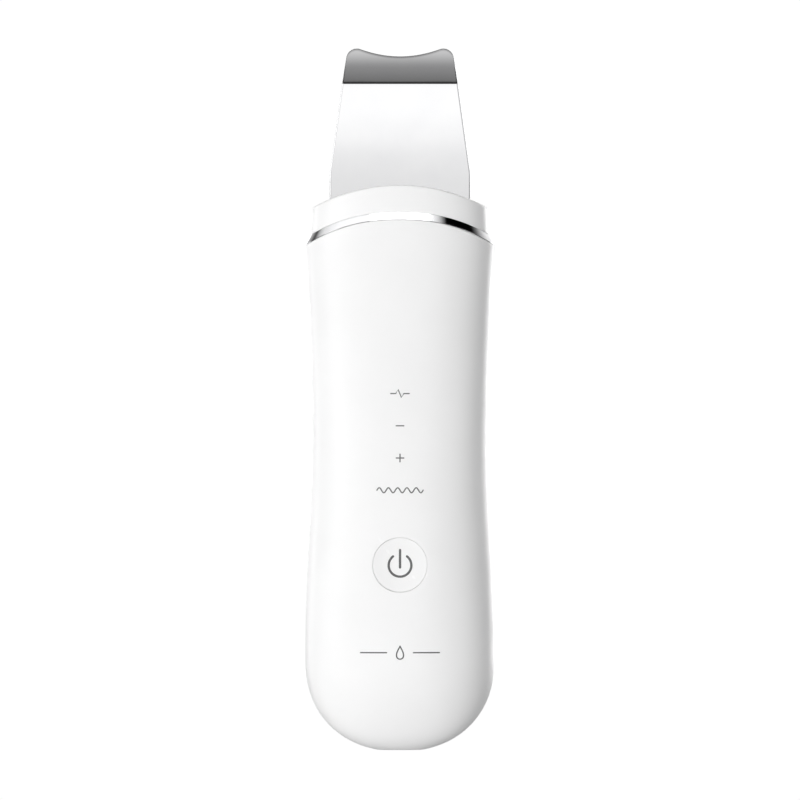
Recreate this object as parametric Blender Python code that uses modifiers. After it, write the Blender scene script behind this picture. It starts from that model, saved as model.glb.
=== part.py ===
"""A handheld ultrasonic skin scrubber, built piece by piece in metres.

The handset stands upright. +Z runs from its rounded palm end to the blade, the front with the
power button faces -Y, and +X is to the right for someone who looks at the front. The origin lies
under the middle of the palm end.
"""

import math

import bmesh
import bpy
from mathutils import Matrix, Vector

MM = 0.001

# Handset outline, seen from the front
PALM_HALF_WIDTH = 22.7 * MM
WAIST_HALF_WIDTH = 20.9 * MM
SHOULDER_HALF_WIDTH = 22.6 * MM
PALM_Z = 26.0 * MM
WAIST_Z = 75.0 * MM
SHOULDER_Z = 121.6 * MM
FLARE_POWER = 1.85
END_LENGTH = 22.0 * MM
END_POWER = 2.2

# Handset depth, seen from the side
PALM_FRONT = 11.8 * MM
NECK_FRONT = 10.4 * MM
FRONT_TAPER = (52.0 * MM, 100.0 * MM)
PALM_BACK = 12.2 * MM
NECK_BACK = 10.0 * MM
BACK_TAPER = (58.0 * MM, 108.0 * MM)
REST_FLAT_Y = 11.15 * MM
REST_FLAT_BLEND = 0.8 * MM
SECTION_POWER = 2.4
SLOT_POWER = 6.0
NOSE_STEPS = 44

# The arched joint between the handset and its nose, and the arched roof of the nose
JOINT_CREST = 127.35 * MM
JOINT_DROP = 5.9 * MM
JOINT_POWER = 2.25
JOINT_START_Z = 92.0 * MM
ROOF_CREST = 135.65 * MM
ROOF_DROP = 6.0 * MM
ROOF_POWER = 2.0
NOSE_INSET_BOTTOM = 1.35 * MM
NOSE_INSET_TOP = 1.65 * MM
NOSE_EDGE = 0.5 * MM
SKIRT_LENGTH = 4.5 * MM
RING_HEIGHT = 1.2 * MM

WALL = 1.6 * MM
NOSE_WALL = 1.2 * MM
GAP = 0.3 * MM

# Blade
BLADE_THICKNESS = 0.6 * MM
BLADE_HALF_WIDTH = 16.9 * MM
BLADE_BEND_HALF_WIDTH = 13.9 * MM
BLADE_TAB_HALF_WIDTH = 5.0 * MM
BLADE_ROOT_Z = 110.6 * MM
BLADE_SHOULDER_Z = (119.0 * MM, 128.0 * MM)
BLADE_TAPER_Z = 138.6 * MM
BLADE_BEND_Z = 160.4 * MM
BLADE_BEND_RADIUS = 1.0 * MM
BLADE_BEND = math.radians(35)
BEND_START_Z = BLADE_BEND_Z - BLADE_BEND_RADIUS * math.tan(BLADE_BEND / 2)
TIP_SIDE_LEAN = math.radians(9.8)
TIP_RISE = 8.1 * MM
TIP_CORNER = 2.55 * MM
HOLLOW_SLOPE = math.radians(19.2)
HOLLOW_SHARE = 0.68
BLADE_PIN_Z = 114.5 * MM
BLADE_PIN_RADIUS = 1.0 * MM

# Power button, on the front
BUTTON_Z = 45.0 * MM
BUTTON_RADIUS = 6.4 * MM
BUTTON_FLANGE_RADIUS = 7.6 * MM
BUTTON_FACE_Y = -11.55 * MM
BUTTON_DISH = 0.35 * MM

# Main board, which carries the switch, the indicators and the charging port
BOARD_FRONT_Y = -3.2 * MM
BOARD_THICKNESS = 1.2 * MM
BOARD_BACK_Y = BOARD_FRONT_Y + BOARD_THICKNESS
BOARD_HALF_WIDTH = 12.0 * MM
BOARD_BOTTOM_Z = 9.0 * MM
BOARD_TOP_Z = 87.2 * MM
BOARD_SCREWS = [(side * 9.5 * MM, z) for z in (24.0 * MM, 81.0 * MM) for side in (-1, 1)]
INDICATOR_ZS = [62.8 * MM + 7.68 * MM * i for i in range(4)]

# Ultrasonic transducer, a stack along Z
STACK_RADIUS = 6.4 * MM
STACK_BOTTOM_Z = 91.0 * MM
BACK_MASS_LENGTH = 7.0 * MM
PIEZO_THICKNESS = 2.2 * MM
ELECTRODE_THICKNESS = 0.3 * MM
CLAMP_BOLT_RADIUS = 2.0 * MM
HORN_NECK_RADIUS = 5.8 * MM
HORN_TOP_Z = 119.0 * MM
CRADLE_Z = 107.5 * MM
CRADLE_X = 13.0 * MM

# Charging port, in the palm end
PORT_HALF_WIDTH = 4.5 * MM
PORT_HALF_HEIGHT = 1.65 * MM
PORT_MOUTH_Z = 1.5 * MM
PORT_LENGTH = 7.3 * MM
BEZEL_Z = 1.4 * MM

# Contact plate, on the back
PLATE_Z = (20.0 * MM, 62.0 * MM)
PLATE_HALF_WIDTH = 7.5 * MM
PLATE_THICKNESS = 0.6 * MM
STUD_Z = 57.0 * MM

WHITE_PLASTIC = ("white_plastic", (0.9, 0.9, 0.91), 0.32, 0.0)
NOSE_PLASTIC = ("nose_plastic", (0.9, 0.9, 0.91), 0.3, 0.0)
BUTTON_PLASTIC = ("button_plastic", (0.88, 0.88, 0.89), 0.35, 0.0)
DARK_PLASTIC = ("dark_plastic", (0.03, 0.03, 0.035), 0.45, 0.0)
GREY_PLASTIC = ("grey_plastic", (0.35, 0.36, 0.37), 0.5, 0.0)
CLEAR_PLASTIC = ("clear_plastic", (0.85, 0.88, 0.9), 0.2, 0.0)
CHROME = ("chrome", (0.8, 0.8, 0.82), 0.05, 1.0)
BLADE_STEEL = ("blade_steel", (0.72, 0.72, 0.73), 0.12, 1.0)
STEEL = ("steel", (0.55, 0.55, 0.56), 0.3, 1.0)
ALUMINIUM = ("aluminium", (0.7, 0.71, 0.73), 0.35, 1.0)
BRASS = ("brass", (0.75, 0.6, 0.3), 0.3, 1.0)
CERAMIC = ("piezo_ceramic", (0.72, 0.68, 0.55), 0.6, 0.0)
SILICONE = ("silicone", (0.75, 0.76, 0.77), 0.6, 0.0)
BOARD_GREEN = ("board_laminate", (0.03, 0.25, 0.12), 0.45, 0.0)
CELL_WRAP = ("cell_wrap", (0.25, 0.45, 0.7), 0.4, 0.0)
FOAM = ("foam", (0.12, 0.12, 0.12), 0.9, 0.0)
RED_LEAD = ("red_lead", (0.7, 0.04, 0.03), 0.5, 0.0)
BLACK_LEAD = ("black_lead", (0.03, 0.03, 0.03), 0.5, 0.0)
WHITE_LED = ("white_led", (0.9, 0.9, 0.75), 0.3, 0.0)

for obj in list(bpy.data.objects):
    bpy.data.objects.remove(obj, do_unlink=True)

parts = bpy.data.collections.new("skin_scrubber")
cutters = bpy.data.collections.new("cutters")
bpy.context.scene.collection.children.link(parts)
bpy.context.scene.collection.children.link(cutters)


# Helpers


def material(finish):
    """The Principled material of a finish: name, colour, roughness and metallic value."""
    name, colour, roughness, metallic = finish
    made = bpy.data.materials.get(name)
    if made is None:
        made = bpy.data.materials.new(name)
        made.use_nodes = True
        shader = made.node_tree.nodes["Principled BSDF"]
        shader.inputs["Base Color"].default_value = (*colour, 1)
        shader.inputs["Roughness"].default_value = roughness
        shader.inputs["Metallic"].default_value = metallic
        made.diffuse_color = (*colour, 1)
    return made


def add_object(name, mesh, finish, sharp=math.radians(35)):
    """A visible part, shaded smooth with sharp edges over the given angle."""
    obj = bpy.data.objects.new(name, mesh)
    parts.objects.link(obj)
    mesh.materials.append(material(finish))
    mesh.shade_smooth()
    mesh.set_sharp_from_angle(angle=sharp)
    return obj


def add_cutter(name, mesh):
    obj = bpy.data.objects.new(name, mesh)
    cutters.objects.link(obj)
    obj.hide_render = True
    obj.display_type = "WIRE"
    return obj


def boolean(obj, other, operation="DIFFERENCE"):
    step = obj.modifiers.new(other.name, "BOOLEAN")
    step.operation = operation
    step.solver = "EXACT"
    step.object = other


def mesh_from(name, bm):
    mesh = bpy.data.meshes.new(name)
    bm.to_mesh(mesh)
    bm.free()
    return mesh


def cylinder_mesh(name, radius, start, end, segments=24, end_radius=None):
    """A closed cylinder or cone from one point to another."""
    start, end = Vector(start), Vector(end)
    run = end - start
    bm = bmesh.new()
    bmesh.ops.create_cone(
        bm,
        cap_ends=True,
        segments=segments,
        radius1=radius,
        radius2=radius if end_radius is None else end_radius,
        depth=run.length,
    )
    turn = run.to_track_quat("Z", "Y").to_matrix().to_4x4()
    bm.transform(Matrix.Translation((start + end) / 2) @ turn)
    return mesh_from(name, bm)


def box_mesh(name, low, high):
    bm = bmesh.new()
    bmesh.ops.create_cube(bm, size=1)
    low, high = Vector(low), Vector(high)
    bm.transform(Matrix.Translation((low + high) / 2) @ Matrix.Diagonal((*(high - low), 1)))
    return mesh_from(name, bm)


def rounded_box(name, low, high, radius, finish, segments=2):
    """A box with its edges rounded by a Bevel modifier."""
    obj = add_object(name, box_mesh(name, low, high), finish)
    bevel = obj.modifiers.new("rounding", "BEVEL")
    bevel.width = radius
    bevel.segments = segments
    return obj


def outline_mesh(name, points, thickness, matrix):
    """A flat outline filled and given a thickness, as a closed mesh placed by the matrix."""
    curve = bpy.data.curves.new(name, "CURVE")
    curve.dimensions = "2D"
    curve.fill_mode = "BOTH"
    curve.extrude = thickness / 2
    spline = curve.splines.new("POLY")
    spline.points.add(len(points) - 1)
    for point, (x, y) in zip(spline.points, points):
        point.co = (x, y, 0, 1)
    spline.use_cyclic_u = True
    source = bpy.data.objects.new(name + "_outline", curve)
    bpy.context.scene.collection.objects.link(source)
    evaluated = source.evaluated_get(bpy.context.evaluated_depsgraph_get())
    mesh = bpy.data.meshes.new_from_object(evaluated)
    bpy.data.objects.remove(source, do_unlink=True)
    bm = bmesh.new()
    bm.from_mesh(mesh)
    bmesh.ops.remove_doubles(bm, verts=bm.verts, dist=0.001 * MM)
    bm.transform(matrix)
    bmesh.ops.recalc_face_normals(bm, faces=bm.faces)
    bm.to_mesh(mesh)
    bm.free()
    return mesh


def stadium(half_width, half_height, arc_steps=8):
    """A rectangle with half-round ends, as points counterclockwise."""
    straight = half_width - half_height
    points = []
    for side in (1, -1):
        for step in range(arc_steps + 1):
            angle = -math.pi / 2 + math.pi * step / arc_steps
            points.append(
                (
                    side * (straight + half_height * math.cos(angle)),
                    side * half_height * math.sin(angle),
                )
            )
    return points


def stadium_prism(name, half_width, half_height, z_low, z_high):
    """A stadium in X and Y that runs along Z."""
    place = Matrix.Translation((0, 0, (z_low + z_high) / 2))
    return outline_mesh(name, stadium(half_width, half_height), z_high - z_low, place)


def turned(name, profile, finish, matrix=Matrix(), segments=32):
    """A part turned about its local Z from (radius, height) points, top to bottom."""
    bm = bmesh.new()
    corners = [bm.verts.new((radius, 0, height)) for radius, height in profile]
    for first, second in zip(corners, corners[1:]):
        bm.edges.new((first, second))
    obj = add_object(name, mesh_from(name, bm), finish)
    obj.matrix_world = matrix
    screw = obj.modifiers.new("turning", "SCREW")
    screw.steps = segments
    screw.render_steps = segments
    screw.use_merge_vertices = True
    screw.merge_threshold = 0.001 * MM
    return obj


def tube_part(name, outer, inner, z_low, z_high, finish, segments=24):
    """A ring with a square section about the Z axis."""
    profile = [(inner, z_high), (outer, z_high), (outer, z_low), (inner, z_low), (inner, z_high)]
    return turned(name, profile, finish, segments=segments)


def wire(name, points, radius, finish):
    """A round wire along a polyline, with closed ends."""
    curve = bpy.data.curves.new(name, "CURVE")
    curve.dimensions = "3D"
    curve.bevel_depth = radius
    curve.bevel_resolution = 2
    curve.use_fill_caps = True
    spline = curve.splines.new("POLY")
    spline.points.add(len(points) - 1)
    for point, place in zip(spline.points, points):
        point.co = (*place, 1)
    obj = bpy.data.objects.new(name, curve)
    parts.objects.link(obj)
    curve.materials.append(material(finish))
    return obj


def smooth_route(points, steps=4):
    """Points on a Catmull-Rom curve through the given ones."""
    ends = [Vector(points[0]) * 2 - Vector(points[1]), *map(Vector, points)]
    ends.append(Vector(points[-1]) * 2 - Vector(points[-2]))
    route = []
    for before, first, second, after in zip(ends, ends[1:], ends[2:], ends[3:]):
        for step in range(steps):
            t = step / steps
            route.append(
                0.5
                * (
                    2 * first
                    + (second - before) * t
                    + (2 * before - 5 * first + 4 * second - after) * t**2
                    + (3 * first - before - 3 * second + after) * t**3
                )
            )
    route.append(Vector(points[-1]))
    return route


def loft(name, rows, finish, around=True, through=False):
    """Faces between rows of points, closed around each row and from the last row to the first on request."""
    bm = bmesh.new()
    grid = [[bm.verts.new(point) for point in row] for row in rows]
    row_pairs = list(zip(grid, grid[1:]))
    if through:
        row_pairs.append((grid[-1], grid[0]))
    for lower, upper in row_pairs:
        count = len(lower)
        for i in range(count if around else count - 1):
            j = (i + 1) % count
            bm.faces.new((lower[i], lower[j], upper[j], upper[i]))
    bmesh.ops.remove_doubles(bm, verts=bm.verts, dist=0.001 * MM)
    bmesh.ops.dissolve_degenerate(bm, edges=bm.edges, dist=0.0005 * MM)
    return add_object(name, mesh_from(name, bm), finish)


def solidify(obj, thickness, offset=-1.0):
    shell = obj.modifiers.new("wall", "SOLIDIFY")
    shell.thickness = thickness
    shell.offset = offset
    shell.use_even_offset = True
    shell.use_rim = True


# The handset's surface


def mix(a, b, t):
    return a + (b - a) * t


def ease(t):
    """0 to 1 with level ends."""
    t = min(max(t, 0.0), 1.0)
    return t * t * (3 - 2 * t)


def end_round(z):
    """The share of the full section that the rounded palm end leaves at height z."""
    if z >= END_LENGTH:
        return 1.0
    return max(0.0, 1 - (1 - max(z, 0.0) / END_LENGTH) ** END_POWER) ** (1 / END_POWER)


def half_width(z):
    if z < WAIST_Z:
        full = mix(PALM_HALF_WIDTH, WAIST_HALF_WIDTH, ease((z - PALM_Z) / (WAIST_Z - PALM_Z)))
    else:
        flare = min(1.0, (z - WAIST_Z) / (SHOULDER_Z - WAIST_Z)) ** FLARE_POWER
        full = mix(WAIST_HALF_WIDTH, SHOULDER_HALF_WIDTH, flare)
    return full * end_round(z)


def front_depth(z):
    taper = ease((z - FRONT_TAPER[0]) / (FRONT_TAPER[1] - FRONT_TAPER[0]))
    return mix(PALM_FRONT, NECK_FRONT, taper) * end_round(z)


def back_depth(z):
    taper = ease((z - BACK_TAPER[0]) / (BACK_TAPER[1] - BACK_TAPER[0]))
    return mix(PALM_BACK, NECK_BACK, taper) * end_round(z)


def signed_power(value, power):
    return math.copysign(abs(value) ** power, value)


def section(angle, width, front, back, power=SECTION_POWER):
    """A point on a rounded section. The angle runs counterclockwise from +X, seen from above."""
    x = width * signed_power(math.cos(angle), 2 / power)
    y = signed_power(math.sin(angle), 2 / power)
    return x, y * (back if y > 0 else front)


def rest_flattened(y):
    """The back pressed to a flat at the height of the rest face, with a soft edge."""
    near = max(0.0, min(1.0, 0.5 + 0.5 * (REST_FLAT_Y - y) / REST_FLAT_BLEND))
    return REST_FLAT_Y * (1 - near) + y * near - REST_FLAT_BLEND * near * (1 - near)


def handset_point(angle, z, inset=0.0):
    """A point on the handset's outside at height z, moved inwards by the inset."""
    x, y = section(angle, half_width(z) - inset, front_depth(z) - inset, back_depth(z) - inset)
    return x, (rest_flattened(y + inset) - inset if y > 0 else y)


def arch(crest, drop, power, x):
    """The height over x of an arched edge."""
    return crest - drop * (abs(x) / SHOULDER_HALF_WIDTH) ** power


def front_surface_y(x, z):
    """Where the handset's front lies in front of a point."""
    share = 1 - (abs(x) / half_width(z)) ** SECTION_POWER
    return -front_depth(z) * share ** (1 / SECTION_POWER)


def back_surface_y(x, z):
    share = 1 - (abs(x) / half_width(z)) ** SECTION_POWER
    return rest_flattened(back_depth(z) * share ** (1 / SECTION_POWER))


# The handset's shells


def handset_heights(cap_steps=8, body_steps=11):
    """Heights from the palm end to the crest, close together where the end rounds over."""
    cap = [END_LENGTH * (1 - math.cos(math.pi / 2 * i / cap_steps)) for i in range(cap_steps)]
    run = JOINT_CREST - END_LENGTH
    return cap + [END_LENGTH + run * i / body_steps for i in range(body_steps + 1)]


def half_shell(name, side, angle_steps=27):
    """One half of the handset. Side is -1 for the front and 1 for the rear."""
    rows = []
    first_angle = math.pi if side < 0 else 0.0
    for z in handset_heights():
        drop = JOINT_DROP * max(0.0, (z - JOINT_START_Z) / (JOINT_CREST - JOINT_START_Z))
        row = []
        for i in range(angle_steps + 1):
            angle = first_angle + math.pi * i / angle_steps
            lowered = z - drop * abs(math.cos(angle)) ** (2 * JOINT_POWER / SECTION_POWER)
            x, y = handset_point(angle, lowered)
            on_joint = i in (0, angle_steps)
            row.append((x, side * GAP / 2 + (0.0 if on_joint else y), lowered))
        rows.append(row)
    shell = loft(name, rows, WHITE_PLASTIC, around=False)
    solidify(shell, WALL)
    return shell


def screw_posts(shell, places, side, tip_y, hole_depth, radius=2.2 * MM, hole_radius=1.2 * MM):
    """Posts from the wall of a shell to the tip, with a blind hole for a screw in each."""
    for number, (x, z) in enumerate(places, 1):
        wall_y = front_surface_y(x, z) if side < 0 else back_surface_y(x, z)
        root_y = wall_y - side * WALL / 2
        label = f"{shell.name}_post_{number}"
        post = add_cutter(label, cylinder_mesh(label, radius, (x, root_y, z), (x, tip_y, z), 14))
        boolean(shell, post, "UNION")
    for number, (x, z) in enumerate(places, 1):
        label = f"{shell.name}_pilot_{number}"
        start = (x, tip_y - side * 1 * MM, z)
        end = (x, tip_y + side * hole_depth, z)
        boolean(shell, add_cutter(label, cylinder_mesh(label, hole_radius, start, end, 14)))


def front_shell():
    shell = half_shell("front_shell", -1)
    screw_posts(shell, BOARD_SCREWS, -1, BOARD_FRONT_Y - GAP, 4.2 * MM)
    hole = cylinder_mesh(
        "button_hole",
        BUTTON_RADIUS + 0.3 * MM,
        (0, -15 * MM, BUTTON_Z),
        (0, -7 * MM, BUTTON_Z),
        32,
    )
    boolean(shell, add_cutter("button_hole", hole))
    boolean(shell, bpy.data.objects["port_opening"])
    return shell


def rear_shell():
    shell = half_shell("rear_shell", 1)
    places = [(-CRADLE_X, CRADLE_Z), (CRADLE_X, CRADLE_Z)]
    screw_posts(shell, places, 1, 4.6 * MM, 2.6 * MM)
    stud = cylinder_mesh("stud_hole", 1.8 * MM, (0, 8 * MM, STUD_Z), (0, 13 * MM, STUD_Z))
    boolean(shell, add_cutter("stud_hole", stud))
    boolean(shell, bpy.data.objects["port_opening"])
    return shell


# The nose


def nose_row(inset, height_of_x, slot=None, share=0.0):
    """A row round the nose. It moves the given share of the way to the slot's outline."""
    row = []
    for i in range(NOSE_STEPS):
        angle = 2 * math.pi * i / NOSE_STEPS
        x, y = section(angle, SHOULDER_HALF_WIDTH - inset, NECK_FRONT - inset, NECK_BACK - inset)
        if slot:
            sx, sy = section(angle, slot[0], slot[1], slot[1], SLOT_POWER)
            x = mix(x, sx, share)
            y = mix(y, sy, share)
        row.append((x, y, height_of_x(x)))
    return row


def joint_height(above):
    return lambda x: arch(JOINT_CREST, JOINT_DROP, JOINT_POWER, x) + above


def roof_height(below=0.0):
    return lambda x: arch(ROOF_CREST, ROOF_DROP, ROOF_POWER, x) - below


def wall_height(t, low, high):
    return lambda x: mix(low(x), high(x), t)


def nose_collar():
    """The white nose: a skirt inside the handset, a visible wall, and a roof with the blade's slot."""
    slot = (BLADE_HALF_WIDTH + 2.0 * MM, 1.8 * MM)
    bottom = GAP + RING_HEIGHT + GAP
    skirt_inset = WALL + 2 * GAP
    low, high = joint_height(bottom), roof_height(NOSE_EDGE)
    rows = [
        nose_row(skirt_inset, joint_height(-SKIRT_LENGTH)),
        nose_row(skirt_inset, low),
        nose_row(NOSE_INSET_BOTTOM, low),
    ]
    for t in (1 / 3, 2 / 3):
        inset = mix(NOSE_INSET_BOTTOM, NOSE_INSET_TOP, t)
        rows.append(nose_row(inset, wall_height(t, low, high)))
    for step in range(4):
        angle = math.pi / 2 * step / 3
        inset = NOSE_INSET_TOP + NOSE_EDGE * (1 - math.cos(angle))
        rows.append(nose_row(inset, roof_height(NOSE_EDGE * (1 - math.sin(angle)))))
    for share in (0.5, 1.0):
        rows.append(nose_row(NOSE_INSET_TOP + NOSE_EDGE, roof_height(), slot=slot, share=share))
    collar = loft("nose_collar", rows, NOSE_PLASTIC)
    solidify(collar, NOSE_WALL)
    return collar


def chrome_ring():
    """A bright ring whose sloping face bridges the handset's outline and the narrower nose."""
    inner = WALL + GAP
    profile = [
        (inner, GAP),
        (0.05 * MM, GAP),
        (0.0, GAP + 0.15 * MM),
        (NOSE_INSET_BOTTOM - 0.1 * MM, GAP + RING_HEIGHT),
        (inner, GAP + RING_HEIGHT),
    ]
    rows = [nose_row(inset, joint_height(height)) for inset, height in profile]
    return loft("chrome_ring", rows, CHROME, through=True)


def blade_seal():
    """The silicone lip round the blade, set just under the nose's roof."""
    outer = (BLADE_HALF_WIDTH + 1.2 * MM, 1.5 * MM)
    inner = (BLADE_HALF_WIDTH + 0.5 * MM, 0.75 * MM)
    rows = []
    for (width, depth), below in (
        (outer, 1.5 * MM),
        (outer, 0.35 * MM),
        (inner, 0.35 * MM),
        (inner, 1.5 * MM),
    ):
        height = roof_height(below)
        row = []
        for i in range(NOSE_STEPS):
            x, y = section(2 * math.pi * i / NOSE_STEPS, width, depth, depth, SLOT_POWER)
            row.append((x, y, height(x)))
        rows.append(row)
    return loft("blade_seal", rows, SILICONE, through=True)


# The blade


def blade_half_width(z):
    """Half the blade's width at height z, up to the bend and on along the tip's sides."""
    if z < BLADE_TAPER_Z:
        low, high = BLADE_SHOULDER_Z
        return mix(BLADE_TAB_HALF_WIDTH, BLADE_HALF_WIDTH, ease((z - low) / (high - low)))
    if z < BLADE_BEND_Z:
        t = (z - BLADE_TAPER_Z) / (BLADE_BEND_Z - BLADE_TAPER_Z)
        return mix(BLADE_HALF_WIDTH, BLADE_BEND_HALF_WIDTH, t)
    return BLADE_BEND_HALF_WIDTH - (z - BLADE_BEND_Z) * math.tan(TIP_SIDE_LEAN)


def tip_edge(share):
    """A point on the tip's edge, seen from the front: a hollow between two rounded horns."""
    corner_z = BLADE_BEND_Z + TIP_RISE - TIP_CORNER
    corner_x = blade_half_width(corner_z) - TIP_CORNER / math.cos(TIP_SIDE_LEAN)
    hollow_x = corner_x - TIP_CORNER * math.sin(HOLLOW_SLOPE)
    hollow_z = corner_z + TIP_CORNER * math.cos(HOLLOW_SLOPE)
    across = abs(share) / HOLLOW_SHARE
    if across < 1:
        x = hollow_x * across
        z = hollow_z - hollow_x * math.tan(HOLLOW_SLOPE) / 2 * (1 - across**2)
    else:
        turn = (abs(share) - HOLLOW_SHARE) / (1 - HOLLOW_SHARE)
        angle = mix(math.pi / 2 + HOLLOW_SLOPE, TIP_SIDE_LEAN, turn)
        x = corner_x + TIP_CORNER * math.cos(angle)
        z = corner_z + TIP_CORNER * math.sin(angle)
    return math.copysign(x, share), z


def blade_point(x, z):
    """A point on the middle of the bent sheet, from its place seen from the front."""
    rise = max(0.0, z - BEND_START_Z)
    bend_rise = BLADE_BEND_RADIUS * math.sin(BLADE_BEND)
    turned_rise = min(rise, bend_rise)
    lean = BLADE_BEND_RADIUS - math.sqrt(BLADE_BEND_RADIUS**2 - turned_rise**2)
    return x, -lean - (rise - turned_rise) * math.tan(BLADE_BEND), z


def blade():
    """One bent steel sheet: a tab for the horn, a wide flat, and the working tip."""
    columns = 32
    tip_rows = 5
    shares = [-math.cos(math.pi * i / columns) for i in range(columns + 1)]
    low, high = BLADE_SHOULDER_Z
    heights = [mix(BLADE_ROOT_Z, low, i / 3) for i in range(3)]
    heights += [mix(low, high, i / 6) for i in range(7)]
    heights += [133 * MM, BLADE_TAPER_Z, 146 * MM, 153 * MM]
    heights += [BEND_START_Z + BLADE_BEND_RADIUS * math.sin(BLADE_BEND * i / 3) for i in range(4)]
    rows = [[blade_point(blade_half_width(z) * share, z) for share in shares] for z in heights]
    foot = heights[-1]
    for step in range(1, tip_rows + 1):
        t = step / tip_rows
        row = []
        for share in shares:
            x, z = tip_edge(share)
            row.append(blade_point(mix(blade_half_width(foot) * share, x, t), mix(foot, z, t)))
        rows.append(row)
    sheet = loft("blade", rows, BLADE_STEEL, around=False)
    solidify(sheet, BLADE_THICKNESS, 0.0)
    boolean(sheet, add_cutter("blade_pin_hole", pin_mesh("blade_pin_hole", 4 * MM, GAP)))
    return sheet


def pin_mesh(name, reach, clearance=0.0):
    """The pin through the horn and the blade's tab, or a hole for it, out to a distance both ways."""
    radius = BLADE_PIN_RADIUS + clearance
    return cylinder_mesh(name, radius, (0, -reach, BLADE_PIN_Z), (0, reach, BLADE_PIN_Z))


# The power button and its switch

FACING_FRONT = Matrix.Rotation(math.radians(90), 4, "X")


def at_button(y):
    """A frame at the button's axis whose Z points out of the front."""
    return Matrix.Translation((0, y, BUTTON_Z)) @ FACING_FRONT


def power_button():
    """A dished cap, a flange that keeps it in, and a stem for the switch."""
    face = -BUTTON_FACE_Y
    flange_top = 9.2 * MM
    flange_low = 8.2 * MM
    stem_tip = 6.6 * MM
    edge = 0.35 * MM
    profile = [(0.0, face - BUTTON_DISH)]
    for step in (1, 2, 3, 4):
        share = step / 4
        profile.append(((BUTTON_RADIUS - edge) * share, face - BUTTON_DISH * (1 - share**2)))
    profile += [
        (BUTTON_RADIUS - 0.1 * MM, face - 0.12 * MM),
        (BUTTON_RADIUS, face - edge),
        (BUTTON_RADIUS, flange_top),
        (BUTTON_FLANGE_RADIUS, flange_top),
        (BUTTON_FLANGE_RADIUS, flange_low),
        (2.0 * MM, flange_low),
        (1.6 * MM, stem_tip),
        (0.0, stem_tip),
    ]
    return turned("power_button", profile, BUTTON_PLASTIC, at_button(0), segments=32)


def power_switch():
    """The switch under the button: its housing on the board, and the plunger that the stem pushes."""
    board = BOARD_FRONT_Y - GAP
    housing = rounded_box(
        "switch_housing",
        (-3 * MM, board - 1.9 * MM, BUTTON_Z - 3 * MM),
        (3 * MM, board, BUTTON_Z + 3 * MM),
        0.2 * MM,
        DARK_PLASTIC,
        1,
    )
    well = cylinder_mesh(
        "plunger_well",
        1.7 * MM,
        (0, board - 3 * MM, BUTTON_Z),
        (0, board - 0.6 * MM, BUTTON_Z),
    )
    boolean(housing, add_cutter("plunger_well", well))
    top = 6.3 * MM
    bottom = -(board - 1.3 * MM)
    profile = [(0.0, top), (1.2 * MM, top), (1.35 * MM, top - 0.15 * MM), (1.35 * MM, bottom)]
    profile.append((0.0, bottom))
    turned("switch_plunger", profile, GREY_PLASTIC, at_button(0), segments=24)


# The board and what it carries


def main_board():
    board = add_object(
        "main_board",
        outline_mesh(
            "main_board",
            [
                (-6 * MM, 4.6 * MM),
                (6 * MM, 4.6 * MM),
                (6 * MM, BOARD_BOTTOM_Z),
                (BOARD_HALF_WIDTH, BOARD_BOTTOM_Z + 3 * MM),
                (BOARD_HALF_WIDTH, BOARD_TOP_Z),
                (-BOARD_HALF_WIDTH, BOARD_TOP_Z),
                (-BOARD_HALF_WIDTH, BOARD_BOTTOM_Z + 3 * MM),
                (-6 * MM, BOARD_BOTTOM_Z),
            ],
            BOARD_THICKNESS,
            Matrix.Translation((0, BOARD_FRONT_Y + BOARD_THICKNESS / 2, 0)) @ FACING_FRONT,
        ),
        BOARD_GREEN,
    )
    for number, (x, z) in enumerate(BOARD_SCREWS, 1):
        label = f"board_hole_{number}"
        hole = cylinder_mesh(label, 1.3 * MM, (x, -8 * MM, z), (x, 2 * MM, z), 16)
        boolean(board, add_cutter(label, hole))
    return board


def chip(name, centre, size, finish, radius=0.15 * MM):
    """A boxed component given by its centre and its sizes along X, Y and Z."""
    centre, half = Vector(centre), Vector(size) / 2
    return rounded_box(name, centre - half, centre + half, radius, finish, 1)


def board_components():
    back = BOARD_BACK_Y + GAP
    front = BOARD_FRONT_Y - GAP
    chip("microcontroller", (0, front - 0.6 * MM, 31 * MM), (7 * MM, 1.2 * MM, 7 * MM), DARK_PLASTIC)
    chip(
        "step_up_transformer",
        (-4.5 * MM, back + 4 * MM, 72.5 * MM),
        (9.5 * MM, 8 * MM, 10 * MM),
        GREY_PLASTIC,
        0.4 * MM,
    )
    turned(
        "tuning_inductor",
        [
            (0, 6 * MM),
            (3.6 * MM, 6 * MM),
            (3.6 * MM, 5.2 * MM),
            (2.6 * MM, 5.0 * MM),
            (2.6 * MM, 1.2 * MM),
            (3.6 * MM, 1.0 * MM),
            (3.6 * MM, 0),
            (0, 0),
        ],
        DARK_PLASTIC,
        Matrix.Translation((6 * MM, back, 72.5 * MM)) @ Matrix.Rotation(math.radians(-90), 4, "X"),
        segments=20,
    )
    chip(
        "battery_connector",
        (8 * MM, back + 1.4 * MM, 60.5 * MM),
        (6 * MM, 2.8 * MM, 4 * MM),
        WHITE_PLASTIC,
    )


def indicators():
    """Four lamps on the board, each with a clear guide that carries its light to the front wall."""
    for number, z in enumerate(INDICATOR_ZS, 1):
        lamp = BOARD_FRONT_Y - GAP
        chip(
            f"indicator_led_{number}",
            (0, lamp - 0.45 * MM, z),
            (3.0 * MM, 0.9 * MM, 1.6 * MM),
            WHITE_LED,
            0.1 * MM,
        )
        wall = front_surface_y(0, z + 2 * MM) + WALL + 0.35 * MM
        guide = cylinder_mesh(
            f"light_guide_{number}",
            1.5 * MM,
            (0, lamp - 0.9 * MM - GAP, z),
            (0, wall, z),
            20,
        )
        add_object(f"light_guide_{number}", guide, CLEAR_PLASTIC)


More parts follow.
